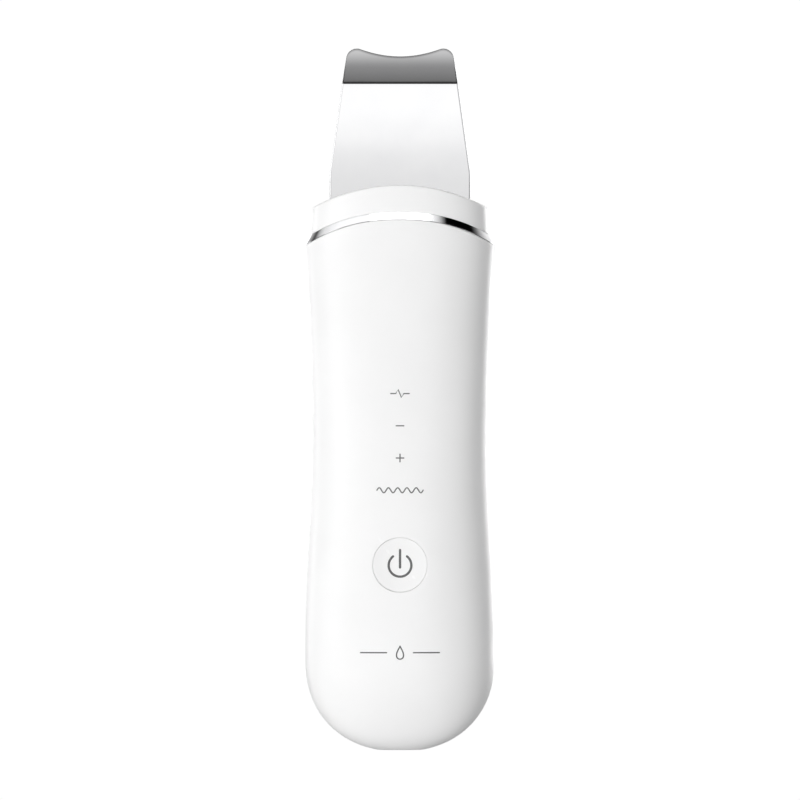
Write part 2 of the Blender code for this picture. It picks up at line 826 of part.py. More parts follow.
def screw(name, head_at, direction, length, head_radius=1.7 * MM, shank_radius=0.8 * MM):
    """A pan-head screw whose head sits at a point and whose shank runs along the direction."""
    head = 1.2 * MM
    turn = Vector(direction).to_track_quat("Z", "Y").to_matrix().to_4x4()
    profile = [
        (0, length),
        (shank_radius * 0.6, length),
        (shank_radius, length - 0.6 * MM),
        (shank_radius, 0),
        (head_radius, 0),
        (head_radius, -head * 0.5),
        (head_radius * 0.75, -head),
        (0, -head),
    ]
    return turned(name, profile, STEEL, Matrix.Translation(head_at) @ turn, segments=16)


def fasteners():
    back = BOARD_BACK_Y + GAP
    for number, (x, z) in enumerate(BOARD_SCREWS, 1):
        screw(f"board_screw_{number}", (x, back, z), (0, -1, 0), 5.2 * MM)
    for name, side in (("left", -1), ("right", 1)):
        place = (side * CRADLE_X, -3.4 * MM - GAP, CRADLE_Z)
        screw(f"cradle_screw_{name}", place, (0, 1, 0), 10.5 * MM)


# Power


def battery():
    low = (-11.5 * MM, 0.9 * MM, 17 * MM)
    high = (11.5 * MM, 7.2 * MM, 53 * MM)
    rounded_box("battery_cell", low, high, 1.2 * MM, CELL_WRAP, 3)
    pad_low = (-8 * MM, high[1] + GAP, 22 * MM)
    pad_high = (8 * MM, REST_FLAT_Y - WALL - GAP, 48 * MM)
    rounded_box("battery_pad", pad_low, pad_high, 0.2 * MM, FOAM, 1)


def charging_port():
    """A metal port shell with its contact tongue, and the bezel that seals it in the palm end."""
    top = PORT_MOUTH_Z + PORT_LENGTH
    shell = add_object(
        "charging_port",
        stadium_prism("charging_port", PORT_HALF_WIDTH, PORT_HALF_HEIGHT, PORT_MOUTH_Z, top),
        STEEL,
    )
    cavity = stadium_prism(
        "port_cavity",
        PORT_HALF_WIDTH - 0.3 * MM,
        PORT_HALF_HEIGHT - 0.3 * MM,
        PORT_MOUTH_Z - 1 * MM,
        top - 0.8 * MM,
    )
    boolean(shell, add_cutter("port_cavity", cavity))
    tongue = box_mesh(
        "port_tongue",
        (-3.3 * MM, -0.35 * MM, PORT_MOUTH_Z + 1.2 * MM),
        (3.3 * MM, 0.35 * MM, top - 0.4 * MM),
    )
    boolean(shell, add_cutter("port_tongue", tongue), "UNION")

    bezel = add_object(
        "port_bezel",
        stadium_prism("port_bezel", 6.2 * MM, 3.3 * MM, BEZEL_Z + 1.7 * MM, BEZEL_Z + 2.7 * MM),
        GREY_PLASTIC,
    )
    lip = stadium_prism("bezel_lip", 5.2 * MM, 2.3 * MM, BEZEL_Z, BEZEL_Z + 2 * MM)
    boolean(bezel, add_cutter("bezel_lip", lip), "UNION")
    bore = stadium_prism(
        "bezel_bore",
        PORT_HALF_WIDTH + GAP / 2,
        PORT_HALF_HEIGHT + GAP / 2,
        0,
        BEZEL_Z + 4 * MM,
    )
    boolean(bezel, add_cutter("bezel_bore", bore))


def port_opening():
    """The opening in the palm end, shared by both shells, with room behind it for the bezel."""
    mouth = stadium_prism("port_opening", 5.5 * MM, 2.6 * MM, -2 * MM, 4 * MM)
    add_cutter("port_opening", mouth)


# The back contact


def contact_plate():
    """The metal plate that the palm touches, with a stud through the rear shell."""
    middle = (PLATE_Z[0] + PLATE_Z[1]) / 2
    half_length = (PLATE_Z[1] - PLATE_Z[0]) / 2
    outline = [(y, x) for x, y in stadium(half_length, PLATE_HALF_WIDTH, 14)][::-1]
    low_y = REST_FLAT_Y + 0.2 * MM
    place = Matrix.Translation((0, low_y + PLATE_THICKNESS / 2, middle)) @ FACING_FRONT
    plate = add_object(
        "contact_plate", outline_mesh("contact_plate", outline, PLATE_THICKNESS, place), STEEL
    )
    bevel = plate.modifiers.new("rounding", "BEVEL")
    bevel.width = 0.15 * MM
    bevel.segments = 1
    bevel.limit_method = "ANGLE"
    stud = cylinder_mesh(
        "contact_stud",
        1.4 * MM,
        (0, low_y + 0.2 * MM, STUD_Z),
        (0, REST_FLAT_Y - WALL - 0.8 * MM, STUD_Z),
        20,
    )
    boolean(plate, add_cutter("contact_stud", stud), "UNION")


def contact_spring():
    """A coil spring that joins the stud to the back of the board."""
    start = BOARD_BACK_Y + 0.25 * MM + GAP
    end = REST_FLAT_Y - WALL - 0.8 * MM - 0.25 * MM - GAP
    turns, per_turn, radius = 4, 9, 1.3 * MM
    points = []
    for i in range(turns * per_turn + 1):
        angle = 2 * math.pi * i / per_turn
        y = start + (end - start) * i / (turns * per_turn)
        points.append((radius * math.cos(angle), y, STUD_Z + radius * math.sin(angle)))
    wire("contact_spring", points, 0.25 * MM, BRASS)


# The transducer


def transducer():
    """A bolted stack: back mass, two piezo rings between electrodes, and the horn that holds the blade."""
    z = STACK_BOTTOM_Z
    bore = CLAMP_BOLT_RADIUS + GAP
    tube_part("back_mass", STACK_RADIUS, bore, z, z + BACK_MASS_LENGTH, STEEL)
    z += BACK_MASS_LENGTH + GAP
    for number in (1, 2):
        outer = STACK_RADIUS + 0.2 * MM
        tube_part(f"electrode_{number}", outer, bore, z, z + ELECTRODE_THICKNESS, BRASS)
        z += ELECTRODE_THICKNESS + GAP
        tube_part(f"piezo_ring_{number}", STACK_RADIUS, bore, z, z + PIEZO_THICKNESS, CERAMIC)
        z += PIEZO_THICKNESS + GAP
    bolt_end = z + 3.5 * MM
    horn = turned(
        "horn",
        [
            (0, HORN_TOP_Z),
            (HORN_NECK_RADIUS - 0.2 * MM, HORN_TOP_Z),
            (HORN_NECK_RADIUS, HORN_TOP_Z - 0.3 * MM),
            (HORN_NECK_RADIUS, z + 7 * MM),
            (STACK_RADIUS, z + 6 * MM),
            (STACK_RADIUS, z),
            (bore, z),
            (bore, bolt_end + GAP),
            (0, bolt_end + GAP),
        ],
        ALUMINIUM,
    )
    slot = box_mesh(
        "horn_slot",
        (-8 * MM, -BLADE_THICKNESS / 2 - GAP, BLADE_ROOT_Z - GAP),
        (8 * MM, BLADE_THICKNESS / 2 + GAP, HORN_TOP_Z + 2 * MM),
    )
    boolean(horn, add_cutter("horn_slot", slot))
    boolean(horn, add_cutter("pin_bore", pin_mesh("pin_bore", 9 * MM, GAP)))
    add_object("blade_pin", pin_mesh("blade_pin", HORN_NECK_RADIUS - 0.2 * MM), STEEL)

    head_top = STACK_BOTTOM_Z - GAP
    turned(
        "clamp_bolt",
        [
            (0, bolt_end),
            (CLAMP_BOLT_RADIUS, bolt_end),
            (CLAMP_BOLT_RADIUS, head_top),
            (3.6 * MM, head_top),
            (3.6 * MM, head_top - 3 * MM),
            (0, head_top - 3 * MM),
        ],
        STEEL,
        segments=24,
    )
    low = CRADLE_Z - 2.6 * MM
    high = CRADLE_Z + 2.6 * MM
    tube_part("isolator_sleeve", 7.7 * MM, STACK_RADIUS + GAP, low, high, SILICONE)


def cradles():
    """Two cheeks that grip the isolator from the sides, each screwed to a post on the rear shell."""
    bore = cylinder_mesh(
        "cradle_bore", 8.0 * MM, (0, 0, CRADLE_Z - 5 * MM), (0, 0, CRADLE_Z + 5 * MM), 32
    )
    cradle_bore = add_cutter("cradle_bore", bore)
    for name, side in (("left", -1), ("right", 1)):
        inner, outer = side * 5.5 * MM, side * 16.5 * MM
        low = (min(inner, outer), -3.4 * MM, CRADLE_Z - 2.4 * MM)
        high = (max(inner, outer), 4.3 * MM, CRADLE_Z + 2.4 * MM)
        cheek = add_object(f"cradle_{name}", box_mesh(f"cradle_{name}", low, high), GREY_PLASTIC)
        boolean(cheek, cradle_bore)
        label = f"cradle_hole_{name}"
        hole = cylinder_mesh(
            label, 1.1 * MM, (side * CRADLE_X, -8 * MM, CRADLE_Z), (side * CRADLE_X, 8 * MM, CRADLE_Z), 16
        )
        boolean(cheek, add_cutter(label, hole))


def leads():
    """Short wires from the cell and from the electrodes to the board."""
    back = BOARD_BACK_Y + GAP
    for name, x, finish in (("red", 9.2 * MM, RED_LEAD), ("black", 7.2 * MM, BLACK_LEAD)):
        route = [
            (x, 3.6 * MM, 53.4 * MM),
            (x, 3.7 * MM, 55.2 * MM),
            (x, 3.0 * MM, 56.8 * MM),
            (x, back + 1.5 * MM, 58.1 * MM),
        ]
        wire(f"battery_lead_{name}", smooth_route(route, 3), 0.45 * MM, finish)
    for name, side, number, finish in (("live", 1, 2, RED_LEAD), ("ground", -1, 1, BLACK_LEAD)):
        z = STACK_BOTTOM_Z + BACK_MASS_LENGTH + GAP + ELECTRODE_THICKNESS / 2
        z += (number - 1) * (ELECTRODE_THICKNESS + PIEZO_THICKNESS + 2 * GAP)
        x = side * (STACK_RADIUS + 0.95 * MM)
        route = [
            (x, 0, z),
            (x + side * 1.2 * MM, 0, z - 3 * MM),
            (x + side * 1.2 * MM, -0.3 * MM, 91 * MM),
            (x + side * 0.6 * MM, back + 0.7 * MM, 88 * MM),
            (x, back + 0.45 * MM, 85 * MM),
        ]
        wire(f"transducer_lead_{name}", smooth_route(route, 3), 0.4 * MM, finish)


port_opening()
front_shell()
rear_shell()
nose_collar()
chrome_ring()
blade_seal()
blade()
power_button()
power_switch()
main_board()
board_components()
indicators()
fasteners()
battery()
charging_port()
contact_plate()
contact_spring()
transducer()
cradles()
leads()
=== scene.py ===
"""The finished look of a handheld ultrasonic skin scrubber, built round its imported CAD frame.

The handset stands upright: +Z runs from the rounded palm end to the blade, the front with the
power button faces -Y, and +X is to the right for someone who looks at the front. Smooth pieces
replace the faceted solids that show, and the solids inside get their own materials.
"""

import math

import bmesh
import bpy
from mathutils import Matrix, Vector


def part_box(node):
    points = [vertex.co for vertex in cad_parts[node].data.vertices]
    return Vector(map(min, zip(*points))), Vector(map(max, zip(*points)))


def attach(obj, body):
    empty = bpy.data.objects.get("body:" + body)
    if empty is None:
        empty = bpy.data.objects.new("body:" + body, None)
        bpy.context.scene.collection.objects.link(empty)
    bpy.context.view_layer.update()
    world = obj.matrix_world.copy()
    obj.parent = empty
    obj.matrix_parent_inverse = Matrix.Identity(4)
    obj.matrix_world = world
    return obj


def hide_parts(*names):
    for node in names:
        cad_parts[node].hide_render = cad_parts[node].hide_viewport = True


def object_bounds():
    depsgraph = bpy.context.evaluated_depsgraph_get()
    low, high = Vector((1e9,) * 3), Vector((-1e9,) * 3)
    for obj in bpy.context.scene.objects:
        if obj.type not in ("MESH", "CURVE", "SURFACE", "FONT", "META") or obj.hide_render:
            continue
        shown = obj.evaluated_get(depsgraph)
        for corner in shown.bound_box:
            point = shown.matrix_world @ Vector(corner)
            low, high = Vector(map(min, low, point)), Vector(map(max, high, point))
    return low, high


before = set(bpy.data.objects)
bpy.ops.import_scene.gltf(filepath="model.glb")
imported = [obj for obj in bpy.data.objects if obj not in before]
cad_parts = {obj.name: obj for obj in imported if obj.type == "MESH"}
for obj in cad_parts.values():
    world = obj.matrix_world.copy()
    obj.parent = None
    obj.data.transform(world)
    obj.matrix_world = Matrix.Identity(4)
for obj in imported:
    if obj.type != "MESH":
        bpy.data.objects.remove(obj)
CAD_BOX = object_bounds()
CENTRE = (CAD_BOX[0] + CAD_BOX[1]) / 2

MM = 0.001
BODY = "handset"

# The camera: the height of its lens, and how much of the scene it takes in at the object
EYE_Z = 84.3 * MM
SEEN_WIDTH = 192 * MM

FRONT_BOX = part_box("front_shell")
NOSE_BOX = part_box("nose_collar")
RING_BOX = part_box("chrome_ring")
BLADE_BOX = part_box("blade")
BUTTON_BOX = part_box("power_button")
PLATE_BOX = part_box("contact_plate")

# Printing stands this far off the plastic
INK = 0.02 * MM

# Handset outline, seen from the front
PALM_HALF_WIDTH = FRONT_BOX[1].x
SHOULDER_HALF_WIDTH = RING_BOX[1].x
WAIST_HALF_WIDTH = 0.921 * PALM_HALF_WIDTH
PALM_Z = 26.0 * MM
WAIST_Z = 75.0 * MM
SHOULDER_Z = 121.6 * MM
FLARE_POWER = 1.85
END_LENGTH = 22.0 * MM
END_POWER = 2.2

# Handset depth, seen from the side
SEAM = 0.15 * MM
PALM_FRONT = -FRONT_BOX[0].y - SEAM - 2 * INK
NECK_FRONT = 10.4 * MM
FRONT_TAPER = (52.0 * MM, 100.0 * MM)
PALM_BACK = 12.2 * MM
NECK_BACK = 10.0 * MM
BACK_TAPER = (58.0 * MM, 108.0 * MM)
REST_FLAT_Y = 11.15 * MM
REST_FLAT_BLEND = 0.8 * MM
SECTION_POWER = 2.4
SLOT_POWER = 6.0

# The arched joint between the handset and its nose, and the arched roof of the nose
JOINT_CREST = FRONT_BOX[1].z
JOINT_DROP = 5.9 * MM
JOINT_POWER = 2.25
JOINT_START_Z = 92.0 * MM
ROOF_CREST = NOSE_BOX[1].z
ROOF_DROP = 6.0 * MM
ROOF_POWER = 2.0
NOSE_INSET_BOTTOM = 1.35 * MM
NOSE_INSET_TOP = 1.65 * MM
NOSE_EDGE = 0.5 * MM
NOSE_BOTTOM = 1.8 * MM
SKIRT_LENGTH = 4.5 * MM
RING_BOTTOM = 0.05 * MM
RING_ROLL = 0.05 * MM

# Walls. Only a skin of each is modelled, and its edges turn in by about the wall's thickness.
# A lip stands inside each side seam, between two insets from the outside
WALL = 1.3 * MM
SKIN = 0.35 * MM
EDGE_ROUND = 0.2 * MM
PORT_RIM_Z = 0.45 * MM
SEAM_TURN_IN = 0.8 * WALL
SEAM_LIP = (0.3 * WALL, 0.6 * WALL)

# Blade. The edge's rounding reaches inwards by a multiple of half the thickness
BLADE_THICKNESS = 0.6 * MM
BLADE_EDGE_REACH = 1.3
BLADE_HALF_WIDTH = BLADE_BOX[1].x
BLADE_BEND_HALF_WIDTH = 13.9 * MM
BLADE_TAB_HALF_WIDTH = 5.0 * MM
BLADE_ROOT_Z = BLADE_BOX[0].z
BLADE_SHOULDER_Z = (119.0 * MM, 128.0 * MM)
BLADE_TAPER_Z = 138.6 * MM
BLADE_BEND_Z = 160.4 * MM
BLADE_BEND_RADIUS = 1.0 * MM
BLADE_BEND = math.radians(35)
BEND_START_Z = BLADE_BEND_Z - BLADE_BEND_RADIUS * math.tan(BLADE_BEND / 2)
TIP_CURL = math.radians(4)
TIP_SIDE_LEAN = math.radians(9.8)
TIP_RISE = 8.1 * MM
TIP_CORNER = 2.55 * MM
TIP_THINNING = 0.25
HOLLOW_SLOPE = math.radians(19.2)
HOLLOW_SHARE = 0.68

# Power button
BUTTON_Z = (BUTTON_BOX[0].z + BUTTON_BOX[1].z) / 2
BUTTON_FACE = -BUTTON_BOX[0].y
BUTTON_STEM = -BUTTON_BOX[1].y
BUTTON_FLANGE = (BUTTON_BOX[1].x - BUTTON_BOX[0].x) / 2
BUTTON_RADIUS = BUTTON_FLANGE - 1.1 * MM
BUTTON_HOLE = BUTTON_RADIUS + 0.05 * MM
BUTTON_DISH = 0.35 * MM
BUTTON_EDGE_ROUND = 0.07 * MM
FLANGE_TOP = BUTTON_STEM + 2.6 * MM
FLANGE_LOW = FLANGE_TOP - 1.0 * MM
STEM_RADII = (2.0 * MM, 1.6 * MM)
HOLE_DEPTH = 0.9 * MM
HOLE_MARGIN = 2.4 * MM

# The nose's slot for the blade, as half its width and half its depth
SLOT = (BLADE_HALF_WIDTH + 2.0 * MM, 1.8 * MM)
SKIRT_INSET = WALL + 0.9 * MM
RING_INNER_INSET = WALL + 0.6 * MM

# Printed marks
MARK_STROKE = 0.3 * MM
SIGN_SIZE = 1.8 * MM
SYMBOL_STROKE = 0.56 * MM
SYMBOL_RADIUS = 2.7 * MM
SYMBOL_HALF_OPENING = 38
SYMBOL_DROP = 0.1 * MM
SYMBOL_BAR = (-0.5 * MM, 3.65 * MM)
ORNAMENT_Z = 24.1 * MM
DROPLET = (1.15 * MM, 1.55 * MM)
ORNAMENT_LINE = (3.2 * MM, 9.4 * MM)

# The contact plate: its rounded rim, and the brushed face a little below it
PLATE_ROUND = 0.22 * MM
PLATE_RIM = 0.9 * MM
PLATE_STEP = (0.25 * MM, 0.12 * MM)

# Reflection cards in front of the object and under it, in metres
CARD_HALF_WIDTH = 0.25
CARD_Y = -0.35
CARD_LOW_Z = -0.1
CARD_HIGH_Z = 0.42
CARD_GLOW = 1.18
ROOM_GLOW = 1.1
ROOM_RADIUS = 2.6
FLOOR_DROP = 0.12
WALL_ALBEDO = 0.9

INDICATOR_ZS = [
    sum(corner.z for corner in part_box(f"light_guide_{number}")) / 2 for number in (1, 2, 3, 4)
]


# Small helpers


def ease(t):
    """0 to 1 with level ends."""
    t = min(max(t, 0.0), 1.0)
    return t * t * (3 - 2 * t)


def mix(a, b, t):
    return a + (b - a) * t


def fillet(steps=4):
    """Angles from 0 to a quarter turn."""
    return [math.pi / 2 * step / steps for step in range(steps + 1)]


def add_piece(name, mesh, material, body, replaced=(), sharp=math.radians(40)):
    """A shown piece that rides on a body and stands for the CAD nodes it replaces."""
    piece = bpy.data.objects.new(name, mesh)
    bpy.context.scene.collection.objects.link(piece)
    mesh.materials.append(material)
    mesh.shade_smooth()
    mesh.set_sharp_from_angle(angle=sharp)
    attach(piece, body)
    if replaced:
        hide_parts(*replaced)
    return piece


def mesh_from(name, bm):
    mesh = bpy.data.meshes.new(name)
    bm.to_mesh(mesh)
    bm.free()
    return mesh


def bridge(bm, lower, upper, around=True):
    """Quads between two rows of vertices, counterclockwise from outside."""
    count = len(lower)
    for i in range(count if around else count - 1):
        j = (i + 1) % count
        bm.faces.new((lower[i], lower[j], upper[j], upper[i]))


def loft(name, rows, around=True, through=False, capped=False):
    """A mesh over rows of points: on request closed from the last row to the first, or capped."""
    bm = bmesh.new()
    grid = [[bm.verts.new(point) for point in row] for row in rows]
    for lower, upper in zip(grid, grid[1:]):
        bridge(bm, lower, upper, around)
    if through:
        bridge(bm, grid[-1], grid[0], around)
    if capped:
        bm.faces.new(reversed(grid[0]))
        bm.faces.new(grid[-1])
        bmesh.ops.recalc_face_normals(bm, faces=bm.faces)
    return mesh_from(name, bm)


def thicken(piece, thickness):
    """Gives a surface a thickness on its inner side."""
    wall = piece.modifiers.new("wall", "SOLIDIFY")
    wall.thickness = thickness
    wall.offset = -1.0
    wall.use_even_offset = True


# The handset's surface


def end_round(z):
    """The share of the full section that the rounded palm end leaves at height z."""
    if z >= END_LENGTH:
        return 1.0
    return max(0.0, 1 - (1 - max(z, 0.0) / END_LENGTH) ** END_POWER) ** (1 / END_POWER)


def half_width(z):
    if z < WAIST_Z:
        full = mix(PALM_HALF_WIDTH, WAIST_HALF_WIDTH, ease((z - PALM_Z) / (WAIST_Z - PALM_Z)))
    else:
        flare = min(1.0, (z - WAIST_Z) / (SHOULDER_Z - WAIST_Z)) ** FLARE_POWER
        full = mix(WAIST_HALF_WIDTH, SHOULDER_HALF_WIDTH, flare)
    return full * end_round(z)


def front_depth(z):
    taper = ease((z - FRONT_TAPER[0]) / (FRONT_TAPER[1] - FRONT_TAPER[0]))
    return mix(PALM_FRONT, NECK_FRONT, taper) * end_round(z)


def back_depth(z):
    taper = ease((z - BACK_TAPER[0]) / (BACK_TAPER[1] - BACK_TAPER[0]))
    return mix(PALM_BACK, NECK_BACK, taper) * end_round(z)


def signed_power(value, power):
    return math.copysign(abs(value) ** power, value)


def section(angle, width, front, back, power=SECTION_POWER):
    """A point on a rounded section. The angle runs counterclockwise from +X, seen from above."""
    x = width * signed_power(math.cos(angle), 2 / power)
    y = signed_power(math.sin(angle), 2 / power)
    return x, y * (back if y > 0 else front)


def rest_flattened(y):
    """The back pressed to a flat at the height of the rest face, with a soft edge."""
    near = max(0.0, min(1.0, 0.5 + 0.5 * (REST_FLAT_Y - y) / REST_FLAT_BLEND))
    return REST_FLAT_Y * (1 - near) + y * near - REST_FLAT_BLEND * near * (1 - near)


def handset_point(angle, z, inset=0.0):
    """A point on the handset's outside at height z, moved inwards by the inset."""
    x, y = section(angle, half_width(z) - inset, front_depth(z) - inset, back_depth(z) - inset)
    return x, (rest_flattened(y + inset) - inset if y > 0 else y)


def front_surface_y(x, z):
    """Where the handset's front lies in front of a point."""
    share = 1 - (abs(x) / half_width(z)) ** SECTION_POWER
    return -front_depth(z) * share ** (1 / SECTION_POWER) - SEAM


def arch(crest, drop, power, x):
    """The height over x of an arched edge."""
    return crest - drop * (abs(x) / SHOULDER_HALF_WIDTH) ** power


# The housing


def housing_heights(cap_steps=30, body_steps=96):
    """Heights from the port's rim to the crest, close together where the end rounds over."""
    start = math.acos(1 - PORT_RIM_Z / END_LENGTH)
    cap = [
        END_LENGTH * (1 - math.cos(mix(start, math.pi / 2, i / cap_steps)))
        for i in range(cap_steps)
    ]
    run = JOINT_CREST - END_LENGTH
    return cap + [END_LENGTH + run * i / body_steps for i in range(body_steps + 1)]


def housing_row(side, height, inset=0.0, lift=0.0, steps=96):
    """A row across one half, with its edges rolled in at the side seams."""
    drop = JOINT_DROP * max(0.0, (height - JOINT_START_Z) / (JOINT_CREST - JOINT_START_Z))
    first_angle = math.pi if side < 0 else 0.0
    seam_z = height - drop
    width = half_width(seam_z) - inset
    rounding = min(EDGE_ROUND, 0.04 * front_depth(seam_z))
    rolled = [(width - SEAM_TURN_IN, side * SEAM)]
    for angle in fillet():
        x = width - rounding * (1 - math.sin(angle))
        rolled.append((x, side * (SEAM + rounding * (1 - math.cos(angle)))))
    row = [(-x if side < 0 else x, y, seam_z + lift) for x, y in rolled]
    for i in range(1, steps):
        angle = first_angle + math.pi * i / steps
        z = height - drop * abs(math.cos(angle)) ** (2 * JOINT_POWER / SECTION_POWER)
        x, y = handset_point(angle, z, inset)
        row.append((x, y + side * SEAM, z + lift))
    row += [(x if side < 0 else -x, y, seam_z + lift) for x, y in reversed(rolled)]
    return row


def housing_rows(side):
    """Rows from inside the port's opening, over the outside, to the top rim under the ring."""
    heights = housing_heights()
    rows = [housing_row(side, heights[0], EDGE_ROUND, WALL)]
    for angle in reversed(fillet()[1:]):
        lift = EDGE_ROUND * (1 - math.cos(angle))
        rows.append(housing_row(side, heights[0], EDGE_ROUND * math.sin(angle), lift))
    rows += [housing_row(side, height) for height in heights[:-1]]
    for angle in fillet():
        lift = -EDGE_ROUND * (1 - math.sin(angle))
        rows.append(housing_row(side, heights[-1], EDGE_ROUND * (1 - math.cos(angle)), lift))
    rows.append(housing_row(side, heights[-1], WALL))
    return rows


def button_hole_rings(edge):
    """Rings from the edge of the gap in the grid to the hole, over its lip and down inside it."""
    angles = [math.atan2(z - BUTTON_Z, x) for x, z in edge]
    lip = BUTTON_HOLE + BUTTON_EDGE_ROUND
    rings = []
    for share in (0.75, 0.5, 0.25, 0.0):
        ring = []
        for (x, z), angle in zip(edge, angles):
            rx = mix(lip * math.cos(angle), x, share)
            rz = mix(BUTTON_Z + lip * math.sin(angle), z, share)
            ring.append((rx, front_surface_y(rx, rz), rz))
        rings.append(ring)
    for turn in fillet()[1:]:
        radius = BUTTON_HOLE + BUTTON_EDGE_ROUND * (1 - math.sin(turn))
        rings.append(hole_ring(angles, radius, BUTTON_EDGE_ROUND * (1 - math.cos(turn))))
    rings.append(hole_ring(angles, BUTTON_HOLE, HOLE_DEPTH))
    return rings


def hole_ring(angles, radius, depth):
    """A circle round the button's axis, this deep under the handset's front."""
    ring = []
    for angle in angles:
        x = radius * math.cos(angle)
        z = BUTTON_Z + radius * math.sin(angle)
        ring.append((x, front_surface_y(x, z) + depth, z))
    return ring


def front_housing_mesh():
    """The front half's grid, with the button's round hole worked into it."""
    rows = housing_rows(-1)
    bm = bmesh.new()
    grid = [[bm.verts.new(point) for point in row] for row in rows]
    reach = BUTTON_HOLE + HOLE_MARGIN
    inside_rows = [r for r, row in enumerate(rows) if abs(row[len(row) // 2][2] - BUTTON_Z) < reach]
    middle = rows[inside_rows[0]]
    inside_columns = [c for c, (x, y, _) in enumerate(middle) if abs(x) < reach and y < -SEAM * 2]
    low, high = inside_rows[0], inside_rows[-1]
    left, right = inside_columns[0], inside_columns[-1]
    for r in range(len(grid) - 1):
        for c in range(len(grid[0]) - 1):
            if low <= r < high and left <= c < right:
                continue
            bm.faces.new((grid[r][c], grid[r][c + 1], grid[r + 1][c + 1], grid[r + 1][c]))
    edge = grid[low][left:right]
    edge += [grid[r][right] for r in range(low, high)]
    edge += [grid[high][c] for c in range(right, left, -1)]
    edge += [grid[r][left] for r in range(high, low, -1)]
    outer = edge
    for ring in button_hole_rings([(vert.co.x, vert.co.z) for vert in edge]):
        inner = [bm.verts.new(point) for point in ring]
        bridge(bm, outer, inner)
        outer = inner
    return mesh_from("front_housing", bm)


def seam_line(inset):
    """The side seam on the right, from the port's rim to under the ring, moved inwards."""
    line = [Vector((half_width(z), z)) for z in housing_heights() if z < JOINT_CREST - JOINT_DROP]
    moved = []
    for before, point, after in zip(line[:1] + line, line, line[1:] + line[-1:]):
        along = (after - before).normalized()
        moved.append(point + inset * Vector((-along.y, along.x)))
    return moved


def seam_lips(plastic):
    """The lip inside each side seam that locates the halves and keeps light out of the gap."""
    reach = SEAM + 0.05 * MM
    for side, name in ((-1, "seam_lip_left"), (1, "seam_lip_right")):
        rows = []
        for outer, inner in zip(*(seam_line(inset) for inset in SEAM_LIP)):
            corners = [(outer, -reach), (outer, reach), (inner, reach), (inner, -reach)]
            rows.append([(side * point.x, y, point.y) for point, y in corners])
        add_piece(name, loft(name, rows, capped=True), plastic, BODY)


def housing(plastic):
    """The two halves of the handset."""
    rear_mesh = loft("rear_housing", housing_rows(1), around=False)
    for mesh, shell in ((front_housing_mesh(), "front_shell"), (rear_mesh, "rear_shell")):
        thicken(add_piece(mesh.name, mesh, plastic, BODY, [shell]), SKIN)


# The nose and its ring


def nose_row(inset, height_of_x, slot=None, share=0.0, steps=200):
    """A row round the nose. It moves the given share of the way to the slot's outline."""
    row = []
    for i in range(steps):
        angle = 2 * math.pi * i / steps
        x, y = section(angle, SHOULDER_HALF_WIDTH - inset, NECK_FRONT - inset, NECK_BACK - inset)
        if slot:
            sx, sy = section(angle, slot[0], slot[1], slot[1], SLOT_POWER)
            x = mix(x, sx, share)
            y = mix(y, sy, share)
        row.append((x, y, height_of_x(x)))
    return row


def joint_height(above):
    """The height over x of a line that runs above the handset's joint."""
    return lambda x: arch(JOINT_CREST, JOINT_DROP, JOINT_POWER, x) + above


def roof_height(below=0.0):
    """The height over x of a line that runs below the roof."""
    return lambda x: arch(ROOF_CREST, ROOF_DROP, ROOF_POWER, x) - below


def wall_height(t, low, high):
    """The height over x of a line that runs part of the way from one line to another."""
    return lambda x: mix(low(x), high(x), t)


def nose(plastic):
    """The white nose: a skirt inside the handset, a visible wall, and a roof with the blade's slot."""
    roof_inset = NOSE_INSET_TOP + NOSE_EDGE
    rows = [
        nose_row(SKIRT_INSET, joint_height(-SKIRT_LENGTH)),
        nose_row(SKIRT_INSET, joint_height(NOSE_BOTTOM)),
        nose_row(NOSE_INSET_BOTTOM + EDGE_ROUND, joint_height(NOSE_BOTTOM)),
    ]
    for turn in fillet()[1:]:
        inset = NOSE_INSET_BOTTOM + EDGE_ROUND * (1 - math.sin(turn))
        rows.append(nose_row(inset, joint_height(NOSE_BOTTOM + EDGE_ROUND * (1 - math.cos(turn)))))
    low = joint_height(NOSE_BOTTOM + EDGE_ROUND)
    high = roof_height(NOSE_EDGE)
    for step in range(1, 10):
        inset = mix(NOSE_INSET_BOTTOM, NOSE_INSET_TOP, step / 10)
        rows.append(nose_row(inset, wall_height(step / 10, low, high)))
    for turn in fillet(6):
        inset = NOSE_INSET_TOP + NOSE_EDGE * (1 - math.cos(turn))
        rows.append(nose_row(inset, roof_height(NOSE_EDGE * (1 - math.sin(turn)))))
    for share in (0.2, 0.4, 0.6, 0.8, 1.0):
        rows.append(nose_row(roof_inset, roof_height(), SLOT, share))
    for turn in fillet()[1:]:
        tight = EDGE_ROUND * math.sin(turn)
        narrowed = (SLOT[0] - tight, SLOT[1] - tight)
        below = EDGE_ROUND * (1 - math.cos(turn))
        rows.append(nose_row(roof_inset, roof_height(below), narrowed, 1.0))
    rows.append(nose_row(roof_inset, roof_height(WALL), narrowed, 1.0))
    piece = add_piece("nose", loft("nose", rows), plastic, BODY, ["nose_collar"])
    thicken(piece, SKIN)


